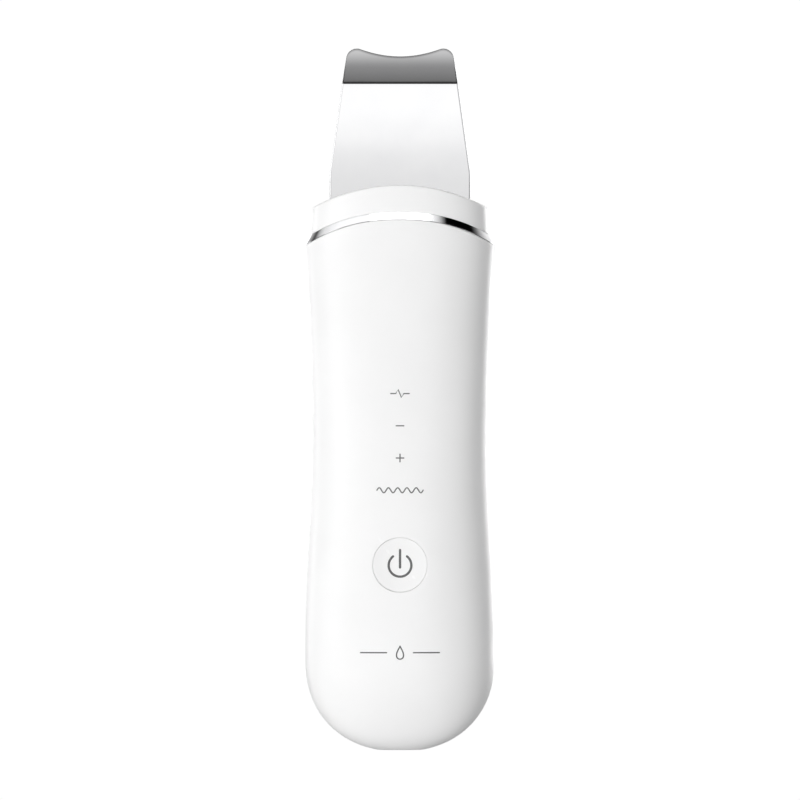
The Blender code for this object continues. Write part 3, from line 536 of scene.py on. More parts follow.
def ring(metal):
    """The bright ring, whose sloping face bridges the handset's outline and the narrower nose."""
    top = NOSE_BOTTOM - 0.06 * MM
    slope_inset = NOSE_INSET_BOTTOM - 0.02 * MM
    profile = [(RING_INNER_INSET, RING_BOTTOM), (RING_ROLL, RING_BOTTOM)]
    for turn in fillet()[1:]:
        inset = RING_ROLL * (1 - math.sin(turn))
        profile.append((inset, RING_BOTTOM + RING_ROLL * (1 - math.cos(turn))))
    foot = RING_BOTTOM + 1.5 * RING_ROLL
    for step in range(7):
        profile.append((slope_inset * step / 6, mix(foot, top, step / 6)))
    profile.append((RING_INNER_INSET, top))
    rows = [nose_row(inset, joint_height(height), steps=320) for inset, height in profile]
    mesh = loft("bright_ring", rows, through=True)
    add_piece("bright_ring", mesh, metal, BODY, ["chrome_ring"], math.radians(25))


# The blade


def blade_half_width(z, inset=0.0):
    """Half the blade's width at height z, up to the bend and on along the tip's sides."""
    if z < BLADE_TAPER_Z:
        low, high = BLADE_SHOULDER_Z
        width = mix(BLADE_TAB_HALF_WIDTH, BLADE_HALF_WIDTH, ease((z - low) / (high - low)))
    elif z < BLADE_BEND_Z:
        t = (z - BLADE_TAPER_Z) / (BLADE_BEND_Z - BLADE_TAPER_Z)
        width = mix(BLADE_HALF_WIDTH, BLADE_BEND_HALF_WIDTH, t)
    else:
        width = BLADE_BEND_HALF_WIDTH - (z - BLADE_BEND_Z) * math.tan(TIP_SIDE_LEAN)
    return width - inset


def tip_edge(share, inset):
    """A point on the tip's edge, seen from the front: a hollow between two rounded horns."""
    corner_z = BLADE_BEND_Z + TIP_RISE - TIP_CORNER
    corner_x = blade_half_width(corner_z) - TIP_CORNER / math.cos(TIP_SIDE_LEAN)
    radius = TIP_CORNER - inset
    hollow_x = corner_x - radius * math.sin(HOLLOW_SLOPE)
    hollow_z = corner_z + radius * math.cos(HOLLOW_SLOPE)
    across = abs(share) / HOLLOW_SHARE
    if across < 1:
        x = hollow_x * across
        z = hollow_z - hollow_x * math.tan(HOLLOW_SLOPE) / 2 * (1 - across**2)
    else:
        turn = (abs(share) - HOLLOW_SHARE) / (1 - HOLLOW_SHARE)
        angle = mix(math.pi / 2 + HOLLOW_SLOPE, TIP_SIDE_LEAN, turn)
        x = corner_x + radius * math.cos(angle)
        z = corner_z + radius * math.sin(angle)
    return math.copysign(x, share), z


def blade_point(x, z, height):
    """A point over the middle of the sheet, which is flat, then bent, then gently curled.

    The height is measured out of the sheet's front.
    """
    bend = BLADE_BEND - TIP_CURL
    rise = max(0.0, z - BEND_START_Z)
    turned_rise = min(rise, BLADE_BEND_RADIUS * math.sin(bend))
    lean = BLADE_BEND_RADIUS - math.sqrt(BLADE_BEND_RADIUS**2 - turned_rise**2)
    beyond = rise - turned_rise
    end_angle = mix(bend, BLADE_BEND + TIP_CURL, beyond / TIP_RISE)
    slope = end_angle if beyond > 0 else math.asin(turned_rise / BLADE_BEND_RADIUS)
    out = height * math.cos(slope)
    down = height * math.sin(slope)
    return x, -lean - beyond * math.tan(mix(bend, end_angle, 0.5)) - out, z - down


def blade_rows(edge_angle, columns=120, tip_rows=14):
    """A grid over one face of the sheet, or a layer of its rounded edge.

    The edge's angle runs from a quarter turn at the front to minus a quarter turn at the back.
    The tip is ground thinner towards its working edge, from the back.
    """
    half = BLADE_THICKNESS / 2
    inset = half * BLADE_EDGE_REACH * (1 - math.cos(edge_angle))
    height = half * math.sin(edge_angle)
    shares = [
        mix(2 * i / columns - 1, -math.cos(math.pi * i / columns), 0.5) for i in range(columns + 1)
    ]
    low, high = BLADE_SHOULDER_Z
    heights = [mix(BLADE_ROOT_Z + inset, low, i / 3) for i in range(3)]
    heights += [mix(low, high, i / 10) for i in range(11)]
    heights += [mix(high, BLADE_TAPER_Z, i / 5) for i in range(1, 5)]
    heights += [mix(BLADE_TAPER_Z, BEND_START_Z, i / 12) for i in range(12)]
    bend = BLADE_BEND - TIP_CURL
    heights += [BEND_START_Z + BLADE_BEND_RADIUS * math.sin(bend * i / 8) for i in range(9)]
    rows = [
        [blade_point(blade_half_width(z, inset) * share, z, height) for share in shares]
        for z in heights
    ]
    foot = heights[-1]
    for step in range(1, tip_rows + 1):
        t = step / tip_rows
        thinned = half - (half - height) * mix(1.0, TIP_THINNING, t)
        row = []
        for share in shares:
            x, z = tip_edge(share, inset * TIP_THINNING)
            foot_x = blade_half_width(foot, inset) * share
            row.append(blade_point(mix(foot_x, x, t), mix(foot, z, t), thinned))
        rows.append(row)
    return rows


def around(grid):
    """The outline of a grid of rows, counterclockwise seen from the front."""
    right = [row[-1] for row in grid[1:-1]]
    left = [row[0] for row in grid[1:-1]]
    return grid[0] + right + grid[-1][::-1] + left[::-1]


def blade(steel, edge_steel, edge_steps=10):
    """One bent sheet with a rounded, ground edge."""
    bm = bmesh.new()
    angles = [math.pi * (0.5 - step / edge_steps) for step in range(edge_steps + 1)]
    sides = []
    for angle in (angles[0], angles[-1]):
        grid = [[bm.verts.new(point) for point in row] for row in blade_rows(angle)]
        sides.append(grid)
        for lower, upper in zip(grid, grid[1:]):
            bridge(bm, lower, upper, around=False)
    flat_count = len(bm.faces)
    outer = around(sides[0])
    for angle in angles[1:-1]:
        inner = [bm.verts.new(point) for point in around(blade_rows(angle))]
        bridge(bm, outer, inner)
        outer = inner
    bridge(bm, outer, around(sides[1]))
    bm.faces.ensure_lookup_table()
    for face in bm.faces[flat_count:]:
        face.material_index = 1
    bmesh.ops.recalc_face_normals(bm, faces=bm.faces)
    mesh = mesh_from("scrub_blade", bm)
    add_piece("scrub_blade", mesh, steel, BODY, ["blade"])
    mesh.materials.append(edge_steel)


# The power button


def dish_depth(radius):
    """How far the button's face lies under its rim."""
    return BUTTON_DISH * (1 - (radius / (BUTTON_RADIUS - BUTTON_EDGE_ROUND)) ** 2)


def button(plastic):
    """A dished cap with a soft rim, a flange that keeps it in, and a stem for the switch."""
    flat = BUTTON_RADIUS - BUTTON_EDGE_ROUND
    profile = [(flat * step / 20, BUTTON_FACE - dish_depth(flat * step / 20)) for step in range(21)]
    for turn in fillet()[1:]:
        radius = flat + BUTTON_EDGE_ROUND * math.sin(turn)
        profile.append((radius, BUTTON_FACE - BUTTON_EDGE_ROUND * (1 - math.cos(turn))))
    profile += [
        (BUTTON_RADIUS, FLANGE_TOP),
        (BUTTON_FLANGE, FLANGE_TOP),
        (BUTTON_FLANGE, FLANGE_LOW),
        (STEM_RADII[0], FLANGE_LOW),
        (STEM_RADII[1], BUTTON_STEM),
        (0.0, BUTTON_STEM),
    ]
    bm = bmesh.new()
    corners = [bm.verts.new((radius, -height, 0)) for radius, height in profile]
    for first, second in zip(corners, corners[1:]):
        bm.edges.new((first, second))
    turned = bm.verts[:] + bm.edges[:]
    turn = {"axis": (0, 1, 0), "cent": (0, 0, 0), "angle": 2 * math.pi, "steps": 120}
    bmesh.ops.spin(bm, geom=turned, use_merge=True, **turn)
    bmesh.ops.remove_doubles(bm, verts=bm.verts, dist=0.0005 * MM)
    bmesh.ops.recalc_face_normals(bm, faces=bm.faces)
    bm.transform(Matrix.Translation((0, 0, BUTTON_Z)))
    mesh = mesh_from("button_cap", bm)
    add_piece("button_cap", mesh, plastic, "button", ["power_button"])


# Printed marks


def stroke_outline(points, width):
    """Rows across a stroke along the points, in X and Z, with round ends."""
    points = [Vector(point) for point in points]
    first = (points[1] - points[0]).normalized()
    last = (points[-1] - points[-2]).normalized()
    cap = [(width / 2 * math.sin(turn), max(math.cos(turn), 0.05)) for turn in fillet()[1:]]
    rows = [(points[0] - first * reach, first, spread) for reach, spread in reversed(cap)]
    for i, point in enumerate(points):
        before = points[max(i - 1, 0)]
        after = points[min(i + 1, len(points) - 1)]
        rows.append((point, (after - before).normalized(), 1.0))
    rows += [(points[-1] + last * reach, last, spread) for reach, spread in cap]
    outline = []
    for place, along, spread in rows:
        side = Vector((-along.y, along.x)) * width / 2 * spread
        outline.append([place + side * t for t in (1, 0.5, 0, -0.5, -1)])
    return outline


def printed(name, strokes, width, surface_y, material, body):
    """Strokes of raised ink that follow a surface, as one piece."""
    bm = bmesh.new()
    for points in strokes:
        rows = [
            [bm.verts.new((p.x, surface_y(p.x, p.y) - INK, p.y)) for p in row]
            for row in stroke_outline(points, width)
        ]
        for lower, upper in zip(rows, rows[1:]):
            bridge(bm, lower, upper, around=False)
    bmesh.ops.recalc_face_normals(bm, faces=bm.faces)
    for face in bm.faces:
        if face.normal.y > 0:
            face.normal_flip()
    thicken(add_piece(name, mesh_from(name, bm), material, body), INK)


def arc(centre, radius, start, end, steps=72):
    """Points on a circle in X and Z, with the angles in degrees."""
    turns = [math.radians(mix(start, end, i / steps)) for i in range(steps + 1)]
    x, z = centre
    return [(x + radius * math.cos(turn), z + radius * math.sin(turn)) for turn in turns]


def straight(start, end, steps=8):
    return [tuple(mix(a, b, i / steps) for a, b in zip(start, end)) for i in range(steps + 1)]


def button_face_y(x, z):
    return -BUTTON_FACE + dish_depth(math.hypot(x, z - BUTTON_Z))


def power_symbol(material):
    """An open ring with a bar in its gap. The angles are in degrees."""
    centre = (0, BUTTON_Z - SYMBOL_DROP)
    low, high = SYMBOL_BAR
    strokes = [
        arc(centre, SYMBOL_RADIUS, 90 + SYMBOL_HALF_OPENING, 450 - SYMBOL_HALF_OPENING),
        straight((0, centre[1] + low), (0, centre[1] + high)),
    ]
    printed("power_symbol", strokes, SYMBOL_STROKE, button_face_y, material, "button")


def wave(centre, width, height, count):
    """A row of smooth waves."""
    shares = [i / (16 * count) for i in range(16 * count + 1)]
    x, z = centre
    turn = 2 * math.pi * count
    return [(x + width * (t - 0.5), z + height / 2 * math.sin(turn * t)) for t in shares]


def mode_marks(material):
    """One small sign over each indicator: waves, plus, minus and a pulse."""
    z = INDICATOR_ZS
    half = SIGN_SIZE / 2
    pulse = [(-2.2, 0), (-1.0, 0), (-0.45, 0.95), (0.35, -0.95), (0.9, 0), (2.2, 0)]
    signs = {
        "mark_waves": [wave((0, z[0]), 11.0 * MM, 1.2 * MM, 5)],
        "mark_plus": [
            straight((-half, z[1]), (half, z[1])),
            straight((0, z[1] - half), (0, z[1] + half)),
        ],
        "mark_minus": [straight((-half, z[2]), (half, z[2]))],
        "mark_pulse": [[(x * MM, z[3] + rise * MM) for x, rise in pulse]],
    }
    for name, strokes in signs.items():
        printed(name, strokes, MARK_STROKE, front_surface_y, material, BODY)


def ornament(material, steps=40):
    """A plain droplet between two fine lines, near the palm end."""
    half_width, half_height = DROPLET
    drop = []
    for i in range(steps + 1):
        turn = 2 * math.pi * i / steps
        x = half_width * math.sin(turn) * math.sin(turn / 2) ** 1.3
        drop.append((x, ORNAMENT_Z + half_height * math.cos(turn)))
    strokes = [drop]
    near, far = ORNAMENT_LINE
    for side in (-1, 1):
        strokes.append(straight((side * near, ORNAMENT_Z), (side * far, ORNAMENT_Z), 20))
    printed("palm_ornament", strokes, MARK_STROKE, front_surface_y, material, BODY)


# The contact plate on the back


def plate_ring(inset, y, steps=40):
    """A stadium round the plate's outline, counterclockwise seen from the back."""
    low, high = PLATE_BOX
    half_width = (high.x - low.x) / 2
    radius = half_width - inset
    points = []
    for middle, start in ((high.z - half_width, 0), (low.z + half_width, 180)):
        for i in range(steps + 1):
            angle = math.radians(start + 180 * i / steps)
            points.append((-radius * math.cos(angle), y, middle + radius * math.sin(angle)))
    return points


def plate(steel):
    """A rounded bright rim with a shallow brushed face inside it."""
    face = PLATE_BOX[1].y
    rows = [plate_ring(0, REST_FLAT_Y + 0.2 * MM), plate_ring(0, face - PLATE_ROUND)]
    for turn in fillet()[1:]:
        inset = PLATE_ROUND * (1 - math.cos(turn))
        rows.append(plate_ring(inset, face - PLATE_ROUND * (1 - math.sin(turn))))
    rows.append(plate_ring(PLATE_RIM, face))
    rows.append(plate_ring(PLATE_RIM + PLATE_STEP[0], face - PLATE_STEP[1]))
    mesh = loft("palm_plate", rows, capped=True)
    add_piece("palm_plate", mesh, steel, BODY, ["contact_plate"], math.radians(30))


# Materials


class Finish:
    """A material under construction: one Principled shader and the nodes that feed it."""

    def __init__(self, name, roughness, metallic=0.0, **sockets):
        self.material = bpy.data.materials.new(name)
        self.material.use_nodes = True
        self.tree = self.material.node_tree
        self.shader = self.tree.nodes["Principled BSDF"]
        self.place = self.node("ShaderNodeTexCoord").outputs["Object"]
        self.shader.inputs["Roughness"].default_value = roughness
        self.shader.inputs["Metallic"].default_value = metallic
        for socket, value in sockets.items():
            self.shader.inputs[socket.replace("_", " ")].default_value = value

    def node(self, kind, **values):
        made = self.tree.nodes.new(kind)
        for socket, value in values.items():
            target = made.inputs[socket.replace("_", " ")]
            if isinstance(value, bpy.types.NodeSocket):
                self.tree.links.new(value, target)
            else:
                target.default_value = value
        return made

    def stretched(self, stretch):
        """The object's coordinates, scaled along each axis."""
        mapping = self.node("ShaderNodeMapping", Vector=self.place, Scale=stretch)
        return mapping.outputs["Vector"]

    def noise(self, size, stretch=(1, 1, 1), detail=3.0):
        """Noise from 0 to 1 whose features are about this size in metres."""
        made = self.node(
            "ShaderNodeTexNoise", Vector=self.stretched(stretch), Scale=1 / size, Detail=detail
        )
        return made.outputs["Fac"]

    def ranged(self, value, low, high, start=0.3, end=0.7):
        made = self.node("ShaderNodeMapRange", Value=value)
        made.inputs["From Min"].default_value = start
        made.inputs["From Max"].default_value = end
        made.inputs["To Min"].default_value = low
        made.inputs["To Max"].default_value = high
        return made.outputs["Result"]

    def blend(self, factor, first, second):
        """A colour mixed from two, each a colour or a socket."""
        made = self.tree.nodes.new("ShaderNodeMix")
        made.data_type = "RGBA"
        self.tree.links.new(factor, made.inputs["Factor"])
        for target, colour in ((made.inputs[6], first), (made.inputs[7], second)):
            if isinstance(colour, bpy.types.NodeSocket):
                self.tree.links.new(colour, target)
            else:
                target.default_value = (*colour, 1)
        return made.outputs[2]

    def edges(self):
        """1 on outward edges and 0 on flats."""
        pointed = self.node("ShaderNodeNewGeometry").outputs["Pointiness"]
        return self.ranged(pointed, 0.0, 1.0, 0.52, 0.6)

    def set(self, socket, value):
        self.tree.links.new(value, self.shader.inputs[socket])

    def bump(self, height, depth):
        made = self.node("ShaderNodeBump", Height=height, Distance=depth, Strength=1.0)
        self.set("Normal", made.outputs["Normal"])


def moulded(name, colour, roughness, worn, grain=0.12 * MM, depth=0.0012 * MM, **sockets):
    """Moulded plastic: faint colour drift, uneven sheen, fine grain and paler edges."""
    finish = Finish(name, roughness, **sockets)
    shade = tuple(0.975 * channel for channel in colour)
    drift = finish.blend(finish.ranged(finish.noise(18 * MM), 0, 1), colour, shade)
    finish.set("Base Color", finish.blend(finish.edges(), drift, worn))
    finish.set("Roughness", finish.ranged(finish.noise(5 * MM), roughness - 0.05, roughness + 0.05))
    finish.bump(finish.noise(grain, detail=2.0), depth)
    return finish.material


def worked_metal(name, colour, roughness, stretch, line=0.4 * MM, depth=0.0004 * MM, spread=0.05):
    """Bare metal with lines along one direction, handled patches and polished edges."""
    finish = Finish(name, roughness, 1.0)
    shade = tuple(0.9 * channel for channel in colour)
    bright = tuple(min(1.0, 1.08 * channel) for channel in colour)
    lines = finish.noise(line, stretch, 4.0)
    tone = finish.blend(finish.ranged(lines, 0, 1), colour, shade)
    finish.set("Base Color", finish.blend(finish.edges(), tone, bright))
    patches = finish.ranged(finish.noise(6 * MM), roughness - spread, roughness + spread)
    finish.set("Roughness", patches)
    finish.bump(lines, depth)
    return finish.material


def polished_steel():
    """Mirror steel with hairline wipe marks that only change its sheen."""
    finish = Finish("polished_blade_steel", 0.04, 1.0)
    hairs = finish.noise(0.5 * MM, (1, 1, 0.04), 4.0)
    smudge = finish.noise(9 * MM)
    colour = finish.blend(finish.ranged(smudge, 0, 1), (0.86, 0.86, 0.865), (0.83, 0.83, 0.84))
    finish.set("Base Color", colour)
    rough = finish.node("ShaderNodeMath")
    rough.operation = "ADD"
    finish.tree.links.new(finish.ranged(hairs, 0.02, 0.035), rough.inputs[0])
    finish.tree.links.new(finish.ranged(smudge, 0.0, 0.01), rough.inputs[1])
    finish.set("Roughness", rough.outputs[0])
    finish.bump(hairs, 0.00002 * MM)
    return finish.material


def chrome():
    """Mirror chrome with faint finger marks."""
    finish = Finish("bright_chrome", 0.06, 1.0)
    smudge = finish.noise(3 * MM)
    colour = finish.blend(finish.ranged(smudge, 0, 1), (0.93, 0.93, 0.94), (0.9, 0.9, 0.91))
    finish.set("Base Color", colour)
    finish.set("Roughness", finish.ranged(smudge, 0.04, 0.09))
    finish.bump(finish.noise(0.3 * MM), 0.00003 * MM)
    return finish.material


def ink(name, colour, metallic=0.0, roughness=0.45):
    """Pad-printed ink: nearly flat colour with pinholes and a soft, uneven sheen."""
    finish = Finish(name, roughness, metallic)
    paler = tuple(1.15 * channel for channel in colour)
    finish.set("Base Color", finish.blend(finish.ranged(finish.noise(0.4 * MM), 0, 1), colour, paler))
    finish.set("Roughness", finish.ranged(finish.noise(1 * MM), roughness - 0.06, roughness + 0.06))
    finish.bump(finish.noise(0.08 * MM), 0.0008 * MM)
    return finish.material


def laminate():
    """Green solder mask over copper tracks and a woven glass base."""
    finish = Finish("solder_mask", 0.35)
    tracks = finish.node("ShaderNodeTexBrick", Vector=finish.stretched((1, 1, 1)), Scale=160.0)
    tracks.inputs["Mortar Size"].default_value = 0.03
    tracks.inputs["Color1"].default_value = (0.012, 0.16, 0.07, 1)
    tracks.inputs["Color2"].default_value = (0.01, 0.13, 0.06, 1)
    tracks.inputs["Mortar"].default_value = (0.03, 0.28, 0.12, 1)
    finish.set("Base Color", tracks.outputs["Color"])
    weave = finish.noise(0.5 * MM, (1, 1, 3))
    finish.set("Roughness", finish.ranged(weave, 0.28, 0.45))
    finish.bump(tracks.outputs["Fac"], 0.02 * MM)
    return finish.material


def clear_plastic():
    """Clear moulded plastic with a faint tint and an uneven polish."""
    finish = Finish("clear_guide", 0.12, Transmission_Weight=0.9, IOR=1.49)
    tint = finish.ranged(finish.noise(2 * MM), 0, 1)
    finish.set("Base Color", finish.blend(tint, (0.95, 0.97, 0.98), (0.9, 0.93, 0.95)))
    finish.set("Roughness", finish.ranged(finish.noise(0.6 * MM), 0.06, 0.2))
    finish.bump(finish.noise(0.2 * MM), 0.001 * MM)
    return finish.material


def dress_frame():
    """A procedural material for every CAD node that is still shown."""
    finishes = {
        "grey": moulded("grey_glass_filled", (0.3, 0.31, 0.32), 0.5, (0.4, 0.41, 0.42)),
        "dark": moulded("black_epoxy", (0.02, 0.02, 0.022), 0.42, (0.06, 0.06, 0.065)),
        "nylon": moulded("white_nylon", (0.78, 0.78, 0.74), 0.45, (0.84, 0.84, 0.8)),
        "silicone": moulded("soft_silicone", (0.6, 0.61, 0.62), 0.6, (0.66, 0.67, 0.68)),
        "foam": moulded("cell_foam", (0.06, 0.06, 0.06), 0.9, (0.1, 0.1, 0.1), 0.5 * MM, 0.1 * MM),
        "wrap": moulded("cell_wrap", (0.12, 0.3, 0.58), 0.35, (0.3, 0.45, 0.68), 1.5 * MM, 0.01 * MM),
        "ceramic": moulded("piezo_ceramic", (0.66, 0.6, 0.46), 0.65, (0.72, 0.67, 0.55), 0.05 * MM),
        "lamp": moulded("lamp_body", (0.85, 0.82, 0.55), 0.3, (0.9, 0.9, 0.85)),
        "red": moulded("red_lead", (0.55, 0.02, 0.015), 0.4, (0.65, 0.08, 0.06)),
        "black": moulded("black_lead", (0.02, 0.02, 0.02), 0.4, (0.05, 0.05, 0.05)),
        "steel": worked_metal("turned_steel", (0.56, 0.56, 0.57), 0.28, (1, 1, 8)),
        "port": worked_metal("drawn_port_steel", (0.6, 0.6, 0.61), 0.22, (1, 1, 0.03)),
        "aluminium": worked_metal("turned_aluminium", (0.68, 0.69, 0.71), 0.3, (0.1, 0.1, 6)),
        "brass": worked_metal("sheet_brass", (0.72, 0.55, 0.24), 0.3, (6, 0.2, 1)),
        "board": laminate(),
        "clear": clear_plastic(),
    }
    dressed = {
        "grey": ["port_bezel", "step_up_transformer", "switch_plunger", "cradle_left", "cradle_right"],
        "dark": ["microcontroller", "switch_housing", "tuning_inductor"],
        "nylon": ["battery_connector"],
        "silicone": ["blade_seal", "isolator_sleeve"],
        "foam": ["battery_pad"],
        "wrap": ["battery_cell"],
        "ceramic": ["piezo_ring_1", "piezo_ring_2"],
        "lamp": [f"indicator_led_{number}" for number in (1, 2, 3, 4)],
        "red": ["battery_lead_red", "transducer_lead_live"],
        "black": ["battery_lead_black", "transducer_lead_ground"],
        "steel": ["back_mass", "blade_pin", "clamp_bolt", "cradle_screw_left", "cradle_screw_right"]
        + [f"board_screw_{number}" for number in (1, 2, 3, 4)],
        "port": ["charging_port"],
        "aluminium": ["horn"],
        "brass": ["contact_spring", "electrode_1", "electrode_2"],
        "board": ["main_board"],
        "clear": [f"light_guide_{number}" for number in (1, 2, 3, 4)],
    }
    for finish, names in dressed.items():
        for name in names:
            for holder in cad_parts[name].material_slots:
                holder.material = finishes[finish]


# The studio


def direction(azimuth, elevation):
    """A unit vector from the object, in degrees. Azimuth 0 is the front's side and 90 is +X."""
    a, e = math.radians(azimuth), math.radians(elevation)
    return Vector((math.sin(a) * math.cos(e), -math.cos(a) * math.cos(e), math.sin(e)))


def aim(obj, azimuth, elevation, distance):
    """Places an object so that its -Z faces the centre."""
    away = direction(azimuth, elevation)
    obj.location = CENTRE + away * distance
    obj.rotation_mode = "QUATERNION"
    obj.rotation_quaternion = away.to_track_quat("Z", "Y")


def softbox(name, azimuth, elevation, size, strength, distance=1.0):
    """A rectangular light. Its strength is about the brightness it gives a white wall."""
    light = bpy.data.lights.new(name, "AREA")
    light.shape = "RECTANGLE"
    light.size, light.size_y = size
    light.energy = strength * (math.pi * distance) ** 2 / WALL_ALBEDO
    lamp = bpy.data.objects.new(name, light)
    bpy.context.scene.collection.objects.link(lamp)
    aim(lamp, azimuth, elevation, distance)
    lamp.visible_camera = False


def glow(name, strength):
    """A white glowing material."""
    material = bpy.data.materials.new(name)
    material.use_nodes = True
    tree = material.node_tree
    tree.nodes.clear()
    output = tree.nodes.new("ShaderNodeOutputMaterial")
    emission = tree.nodes.new("ShaderNodeEmission")
    emission.inputs["Color"].default_value = (1, 1, 1, 1)
    emission.inputs["Strength"].default_value = strength
    tree.links.new(emission.outputs["Emission"], output.inputs["Surface"])
    return material


def ramp_glow(name, axis, stops, strength=1.0):
    """A glow whose grey follows (place in metres, grey) stops along one of the object's own axes."""
    material = glow(name, strength)
    tree = material.node_tree
    start, end = stops[0][0], stops[-1][0]
    place = tree.nodes.new("ShaderNodeTexCoord")
    split = tree.nodes.new("ShaderNodeSeparateXYZ")
    ranged = tree.nodes.new("ShaderNodeMapRange")
    ranged.inputs["From Min"].default_value = start
    ranged.inputs["From Max"].default_value = end
    tree.links.new(place.outputs["Object"], split.inputs["Vector"])
    tree.links.new(split.outputs[axis], ranged.inputs["Value"])
    ramp = tree.nodes.new("ShaderNodeValToRGB")
    tree.links.new(ranged.outputs["Result"], ramp.inputs["Fac"])
    for position, _ in stops[1:-1]:
        ramp.color_ramp.elements.new((position - start) / (end - start))
    for element, (_, grey) in zip(ramp.color_ramp.elements, stops):
        element.color = (grey, grey, grey, 1)
    tree.links.new(ramp.outputs["Color"], tree.nodes["Emission"].inputs["Color"])
    return material


def staging(name, bm, material, camera=False, glossy=False):
    """An object that is no part of the model. It lights nothing and casts no shadow."""
    obj = bpy.data.objects.new(name, mesh_from(name, bm))
    bpy.context.scene.collection.objects.link(obj)
    obj.data.materials.append(material)
    obj.visible_camera = camera
    obj.visible_glossy = glossy
    obj.visible_diffuse = False
    obj.visible_transmission = False
    obj.visible_shadow = False
    return obj


def dome(name, radius, material, **rays):
    """A smooth sphere round the whole studio."""
    bm = bmesh.new()
    bmesh.ops.create_icosphere(bm, subdivisions=5, radius=radius)
    obj = staging(name, bm, material, **rays)
    obj.data.shade_smooth()
    obj.location = CENTRE


def card(name, corners, material):
    """A flat card that only shows in reflections."""
    bm = bmesh.new()
    bm.faces.new([bm.verts.new(corner) for corner in corners])
    return staging(name, bm, material, glossy=True)


def aimed_card(name, azimuth, elevation, spread, material, distance=0.9):
    """A card that faces the object and covers the given half angles."""
    width = distance * math.tan(math.radians(spread[0]))
    height = distance * math.tan(math.radians(spread[1]))
    corners = [(-width, -height, 0), (width, -height, 0), (width, height, 0), (-width, height, 0)]
    aim(card(name, corners, material), azimuth, elevation, distance)


def strip(name, about, start, end, reach, stops, distance=0.8):
    """A card between two directions from a point, its grey following (share, grey) stops.

    It reaches the given half angles to either side of the line between them.
    """
    first, last = direction(*start), direction(*end)
    middle = (first + last).normalized()
    along = (last - first).normalized()
    across = middle.cross(along)
    half = distance * math.tan(first.angle(last) / 2)
    low, high = (distance * math.tan(math.radians(angle)) for angle in reach)
    corners = [(-half, low, 0), (half, low, 0), (half, high, 0), (-half, high, 0)]
    places = [(half * (2 * share - 1), grey) for share, grey in stops]
    obj = card(name, corners, ramp_glow(name, "X", places, ROOM_GLOW))
    turn = Matrix((along, across, middle)).transposed()
    obj.matrix_world = Matrix.Translation(Vector(about) + middle * distance) @ turn.to_4x4()


def ring_strips():
    """Dark strips that give the ring its black end on the right and its grey one on the left."""
    right = [(0, 0.85), (0.04, 0.62), (0.075, 0.26), (0.11, 0), (0.447, 0), (0.53, 0.12)]
    right += [(0.62, 0.36), (0.74, 0.61), (0.92, 0.85), (1, 0.9)]
    left = [(0, 0.6), (0.3, 0.3), (0.45, 0.08), (0.5, 0.08), (0.63, 0.5), (0.73, 0.73), (1, 1)]
    tail = [(0, 0.75), (0.33, 0.85), (0.6, 0.93), (1, 1)]
    place = Vector((0.75 * SHOULDER_HALF_WIDTH, -6 * MM, RING_BOX[0].z))
    strip("ring_strip_right", place, (66, 77), (152, 16), (-28, 6), right)
    strip("ring_tail_right", place, (146, 21), (179, 0), (-7, 9), tail)
    place.x = -place.x
    strip("ring_strip_left", place, (-165, 6), (-98, 55), (-16, 14), left)


def blade_cards():
    """What the blade sees in front and below: a bright sky that fades to dark, then a grey ramp."""
    sky = [(CARD_LOW_Z, 0), (0.07, 0), (0.125, 0.6), (0.146, 0.75), (0.1485, 0.755)]
    sky += [(0.1558, 0.82), (0.161, 0.92), (0.1692, 1), (CARD_HIGH_Z, 1)]
    ground = [(CARD_Y, 0), (-0.17, 0), (-0.15, 0.16), (-0.12, 0.25), (-0.113, 0.295)]
    ground += [(-0.105, 0.385), (-0.097, 0.48), (-0.09, 0.55), (-0.084, 0.585), (-0.078, 0.65)]
    ground += [(0, 1)]
    cards = (("front", (CARD_Y, CARD_HIGH_Z), "Z", sky), ("ground", (0, CARD_LOW_Z), "Y", ground))
    for name, far_edge, axis, stops in cards:
        corners = [(x, CARD_Y, CARD_LOW_Z) for x in (-CARD_HALF_WIDTH, CARD_HALF_WIDTH)]
        corners += [(x, *far_edge) for x in (CARD_HALF_WIDTH, -CARD_HALF_WIDTH)]
        card(f"{name}_card", corners, ramp_glow(f"{name}_glow", axis, stops, CARD_GLOW))


def reflections():
    """What polished surfaces see: a bright sky, a grey ground, and dark and pale cards."""
    room = [(-ROOM_RADIUS, 0.45), (-1.5, 0.35), (-0.3, 0.35), (0, 0.8), (0.5, 1), (ROOM_RADIUS, 1)]
    dome("reflected_room", ROOM_RADIUS, ramp_glow("room_glow", "Z", room, ROOM_GLOW), glossy=True)
    black = glow("black_card", 0.0)
    for side in (-1, 1):
        aimed_card(f"tip_card_{side}", side * 88, -24, (34, 29), black)
    ring_strips()
    blade_shade = ramp_glow("blade_shade", "Y", [(-0.05, 0.25), (0.17, 0.95)])
    aimed_card("blade_card", -45, -25, (34, 22), blade_shade, 0.85)
    blade_cards()


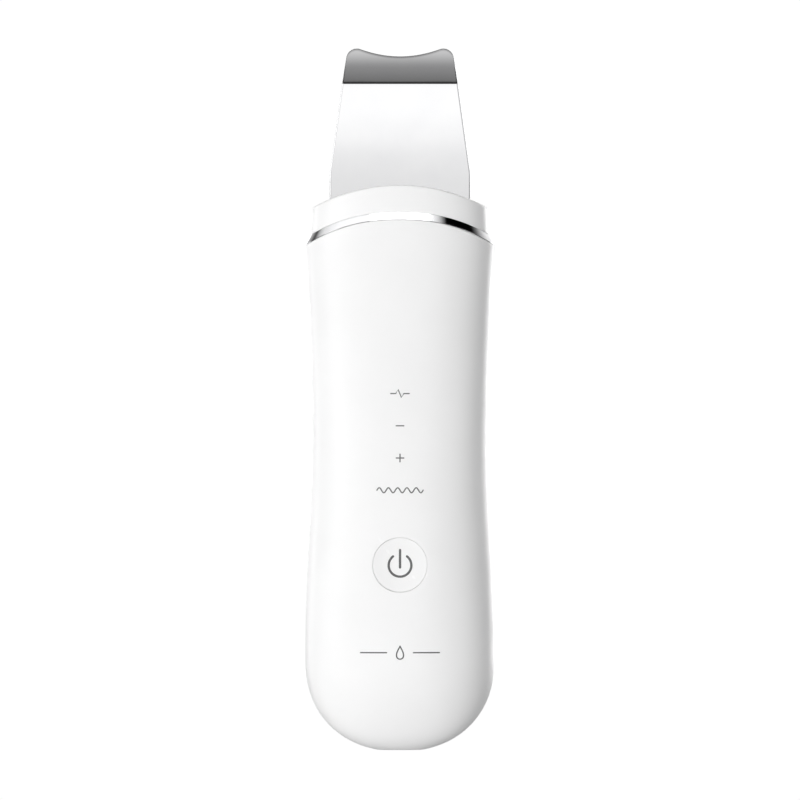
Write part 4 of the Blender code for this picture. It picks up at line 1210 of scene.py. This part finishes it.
def studio():
    """The lights, the soft fill, and all that only shows behind the object or in reflections."""
    softbox("key", -38, -3, (0.7, 1.3), 0.72)
    softbox("front_fill", 0, -10, (0.5, 0.5), 0.27)
    softbox("left_edge", -115, 0, (0.3, 1.0), 0.265)
    softbox("back_left", -155, 20, (0.5, 0.8), 0.21)
    softbox("rim_back", 152, 13, (0.5, 0.8), 0.42)
    softbox("rim_side", 124, 12, (0.38, 1.0), 0.425)
    softbox("low", 0, -55, (0.5, 0.5), 0.14)
    softbox("top", 0, 78, (0.5, 0.5), 0.18)
    world = bpy.data.worlds.new("soft_fill")
    world.use_nodes = True
    fill = world.node_tree.nodes["Background"].inputs
    fill["Color"].default_value = (1, 1, 1, 1)
    fill["Strength"].default_value = 0.115
    bpy.context.scene.world = world
    dome("white_backdrop", 3.0, glow("backdrop_white", 1.02), camera=True)
    floor()
    reflections()
    bpy.context.scene.view_settings.view_transform = "Standard"


def floor():
    """A wide pale floor, well under the object, that only the camera sees."""
    bm = bmesh.new()
    bmesh.ops.create_circle(bm, cap_ends=True, segments=96, radius=2.5)
    obj = staging("pale_floor", bm, glow("floor_white", 1.01), camera=True)
    obj.location = (0, 0, CAD_BOX[0].z - FLOOR_DROP)


def photographer():
    """A long lens, level, straight at the front."""
    camera = bpy.data.cameras.new("camera")
    camera.lens = 300
    distance = SEEN_WIDTH * camera.lens / camera.sensor_width
    camera.clip_start = 0.05
    camera.clip_end = 20
    obj = bpy.data.objects.new("camera", camera)
    bpy.context.scene.collection.objects.link(obj)
    obj.location = (0.0, -distance, EYE_Z)
    obj.rotation_euler = (math.radians(90), 0, 0)
    bpy.context.scene.camera = obj


white = moulded("white_housing", (0.9, 0.9, 0.9), 0.38, (0.93, 0.93, 0.93))
housing(white)
seam_lips(white)
nose(moulded("white_nose", (0.9, 0.9, 0.9), 0.34, (0.93, 0.93, 0.93)))
ring(chrome())
blade(polished_steel(), worked_metal("ground_edge", (0.5, 0.5, 0.505), 0.16, (1, 8, 1)))
button(moulded("white_button", (0.89, 0.89, 0.89), 0.4, (0.92, 0.92, 0.92)))
plate(worked_metal("brushed_plate", (0.66, 0.66, 0.67), 0.3, (8, 1, 0.05), spread=0.015))
power_symbol(ink("dark_inlay", (0.13, 0.13, 0.13), 0.3))
mode_marks(ink("grey_ink", (0.14, 0.14, 0.14)))
ornament(ink("soft_ink", (0.09, 0.09, 0.09)))
dress_frame()
photographer()
studio()
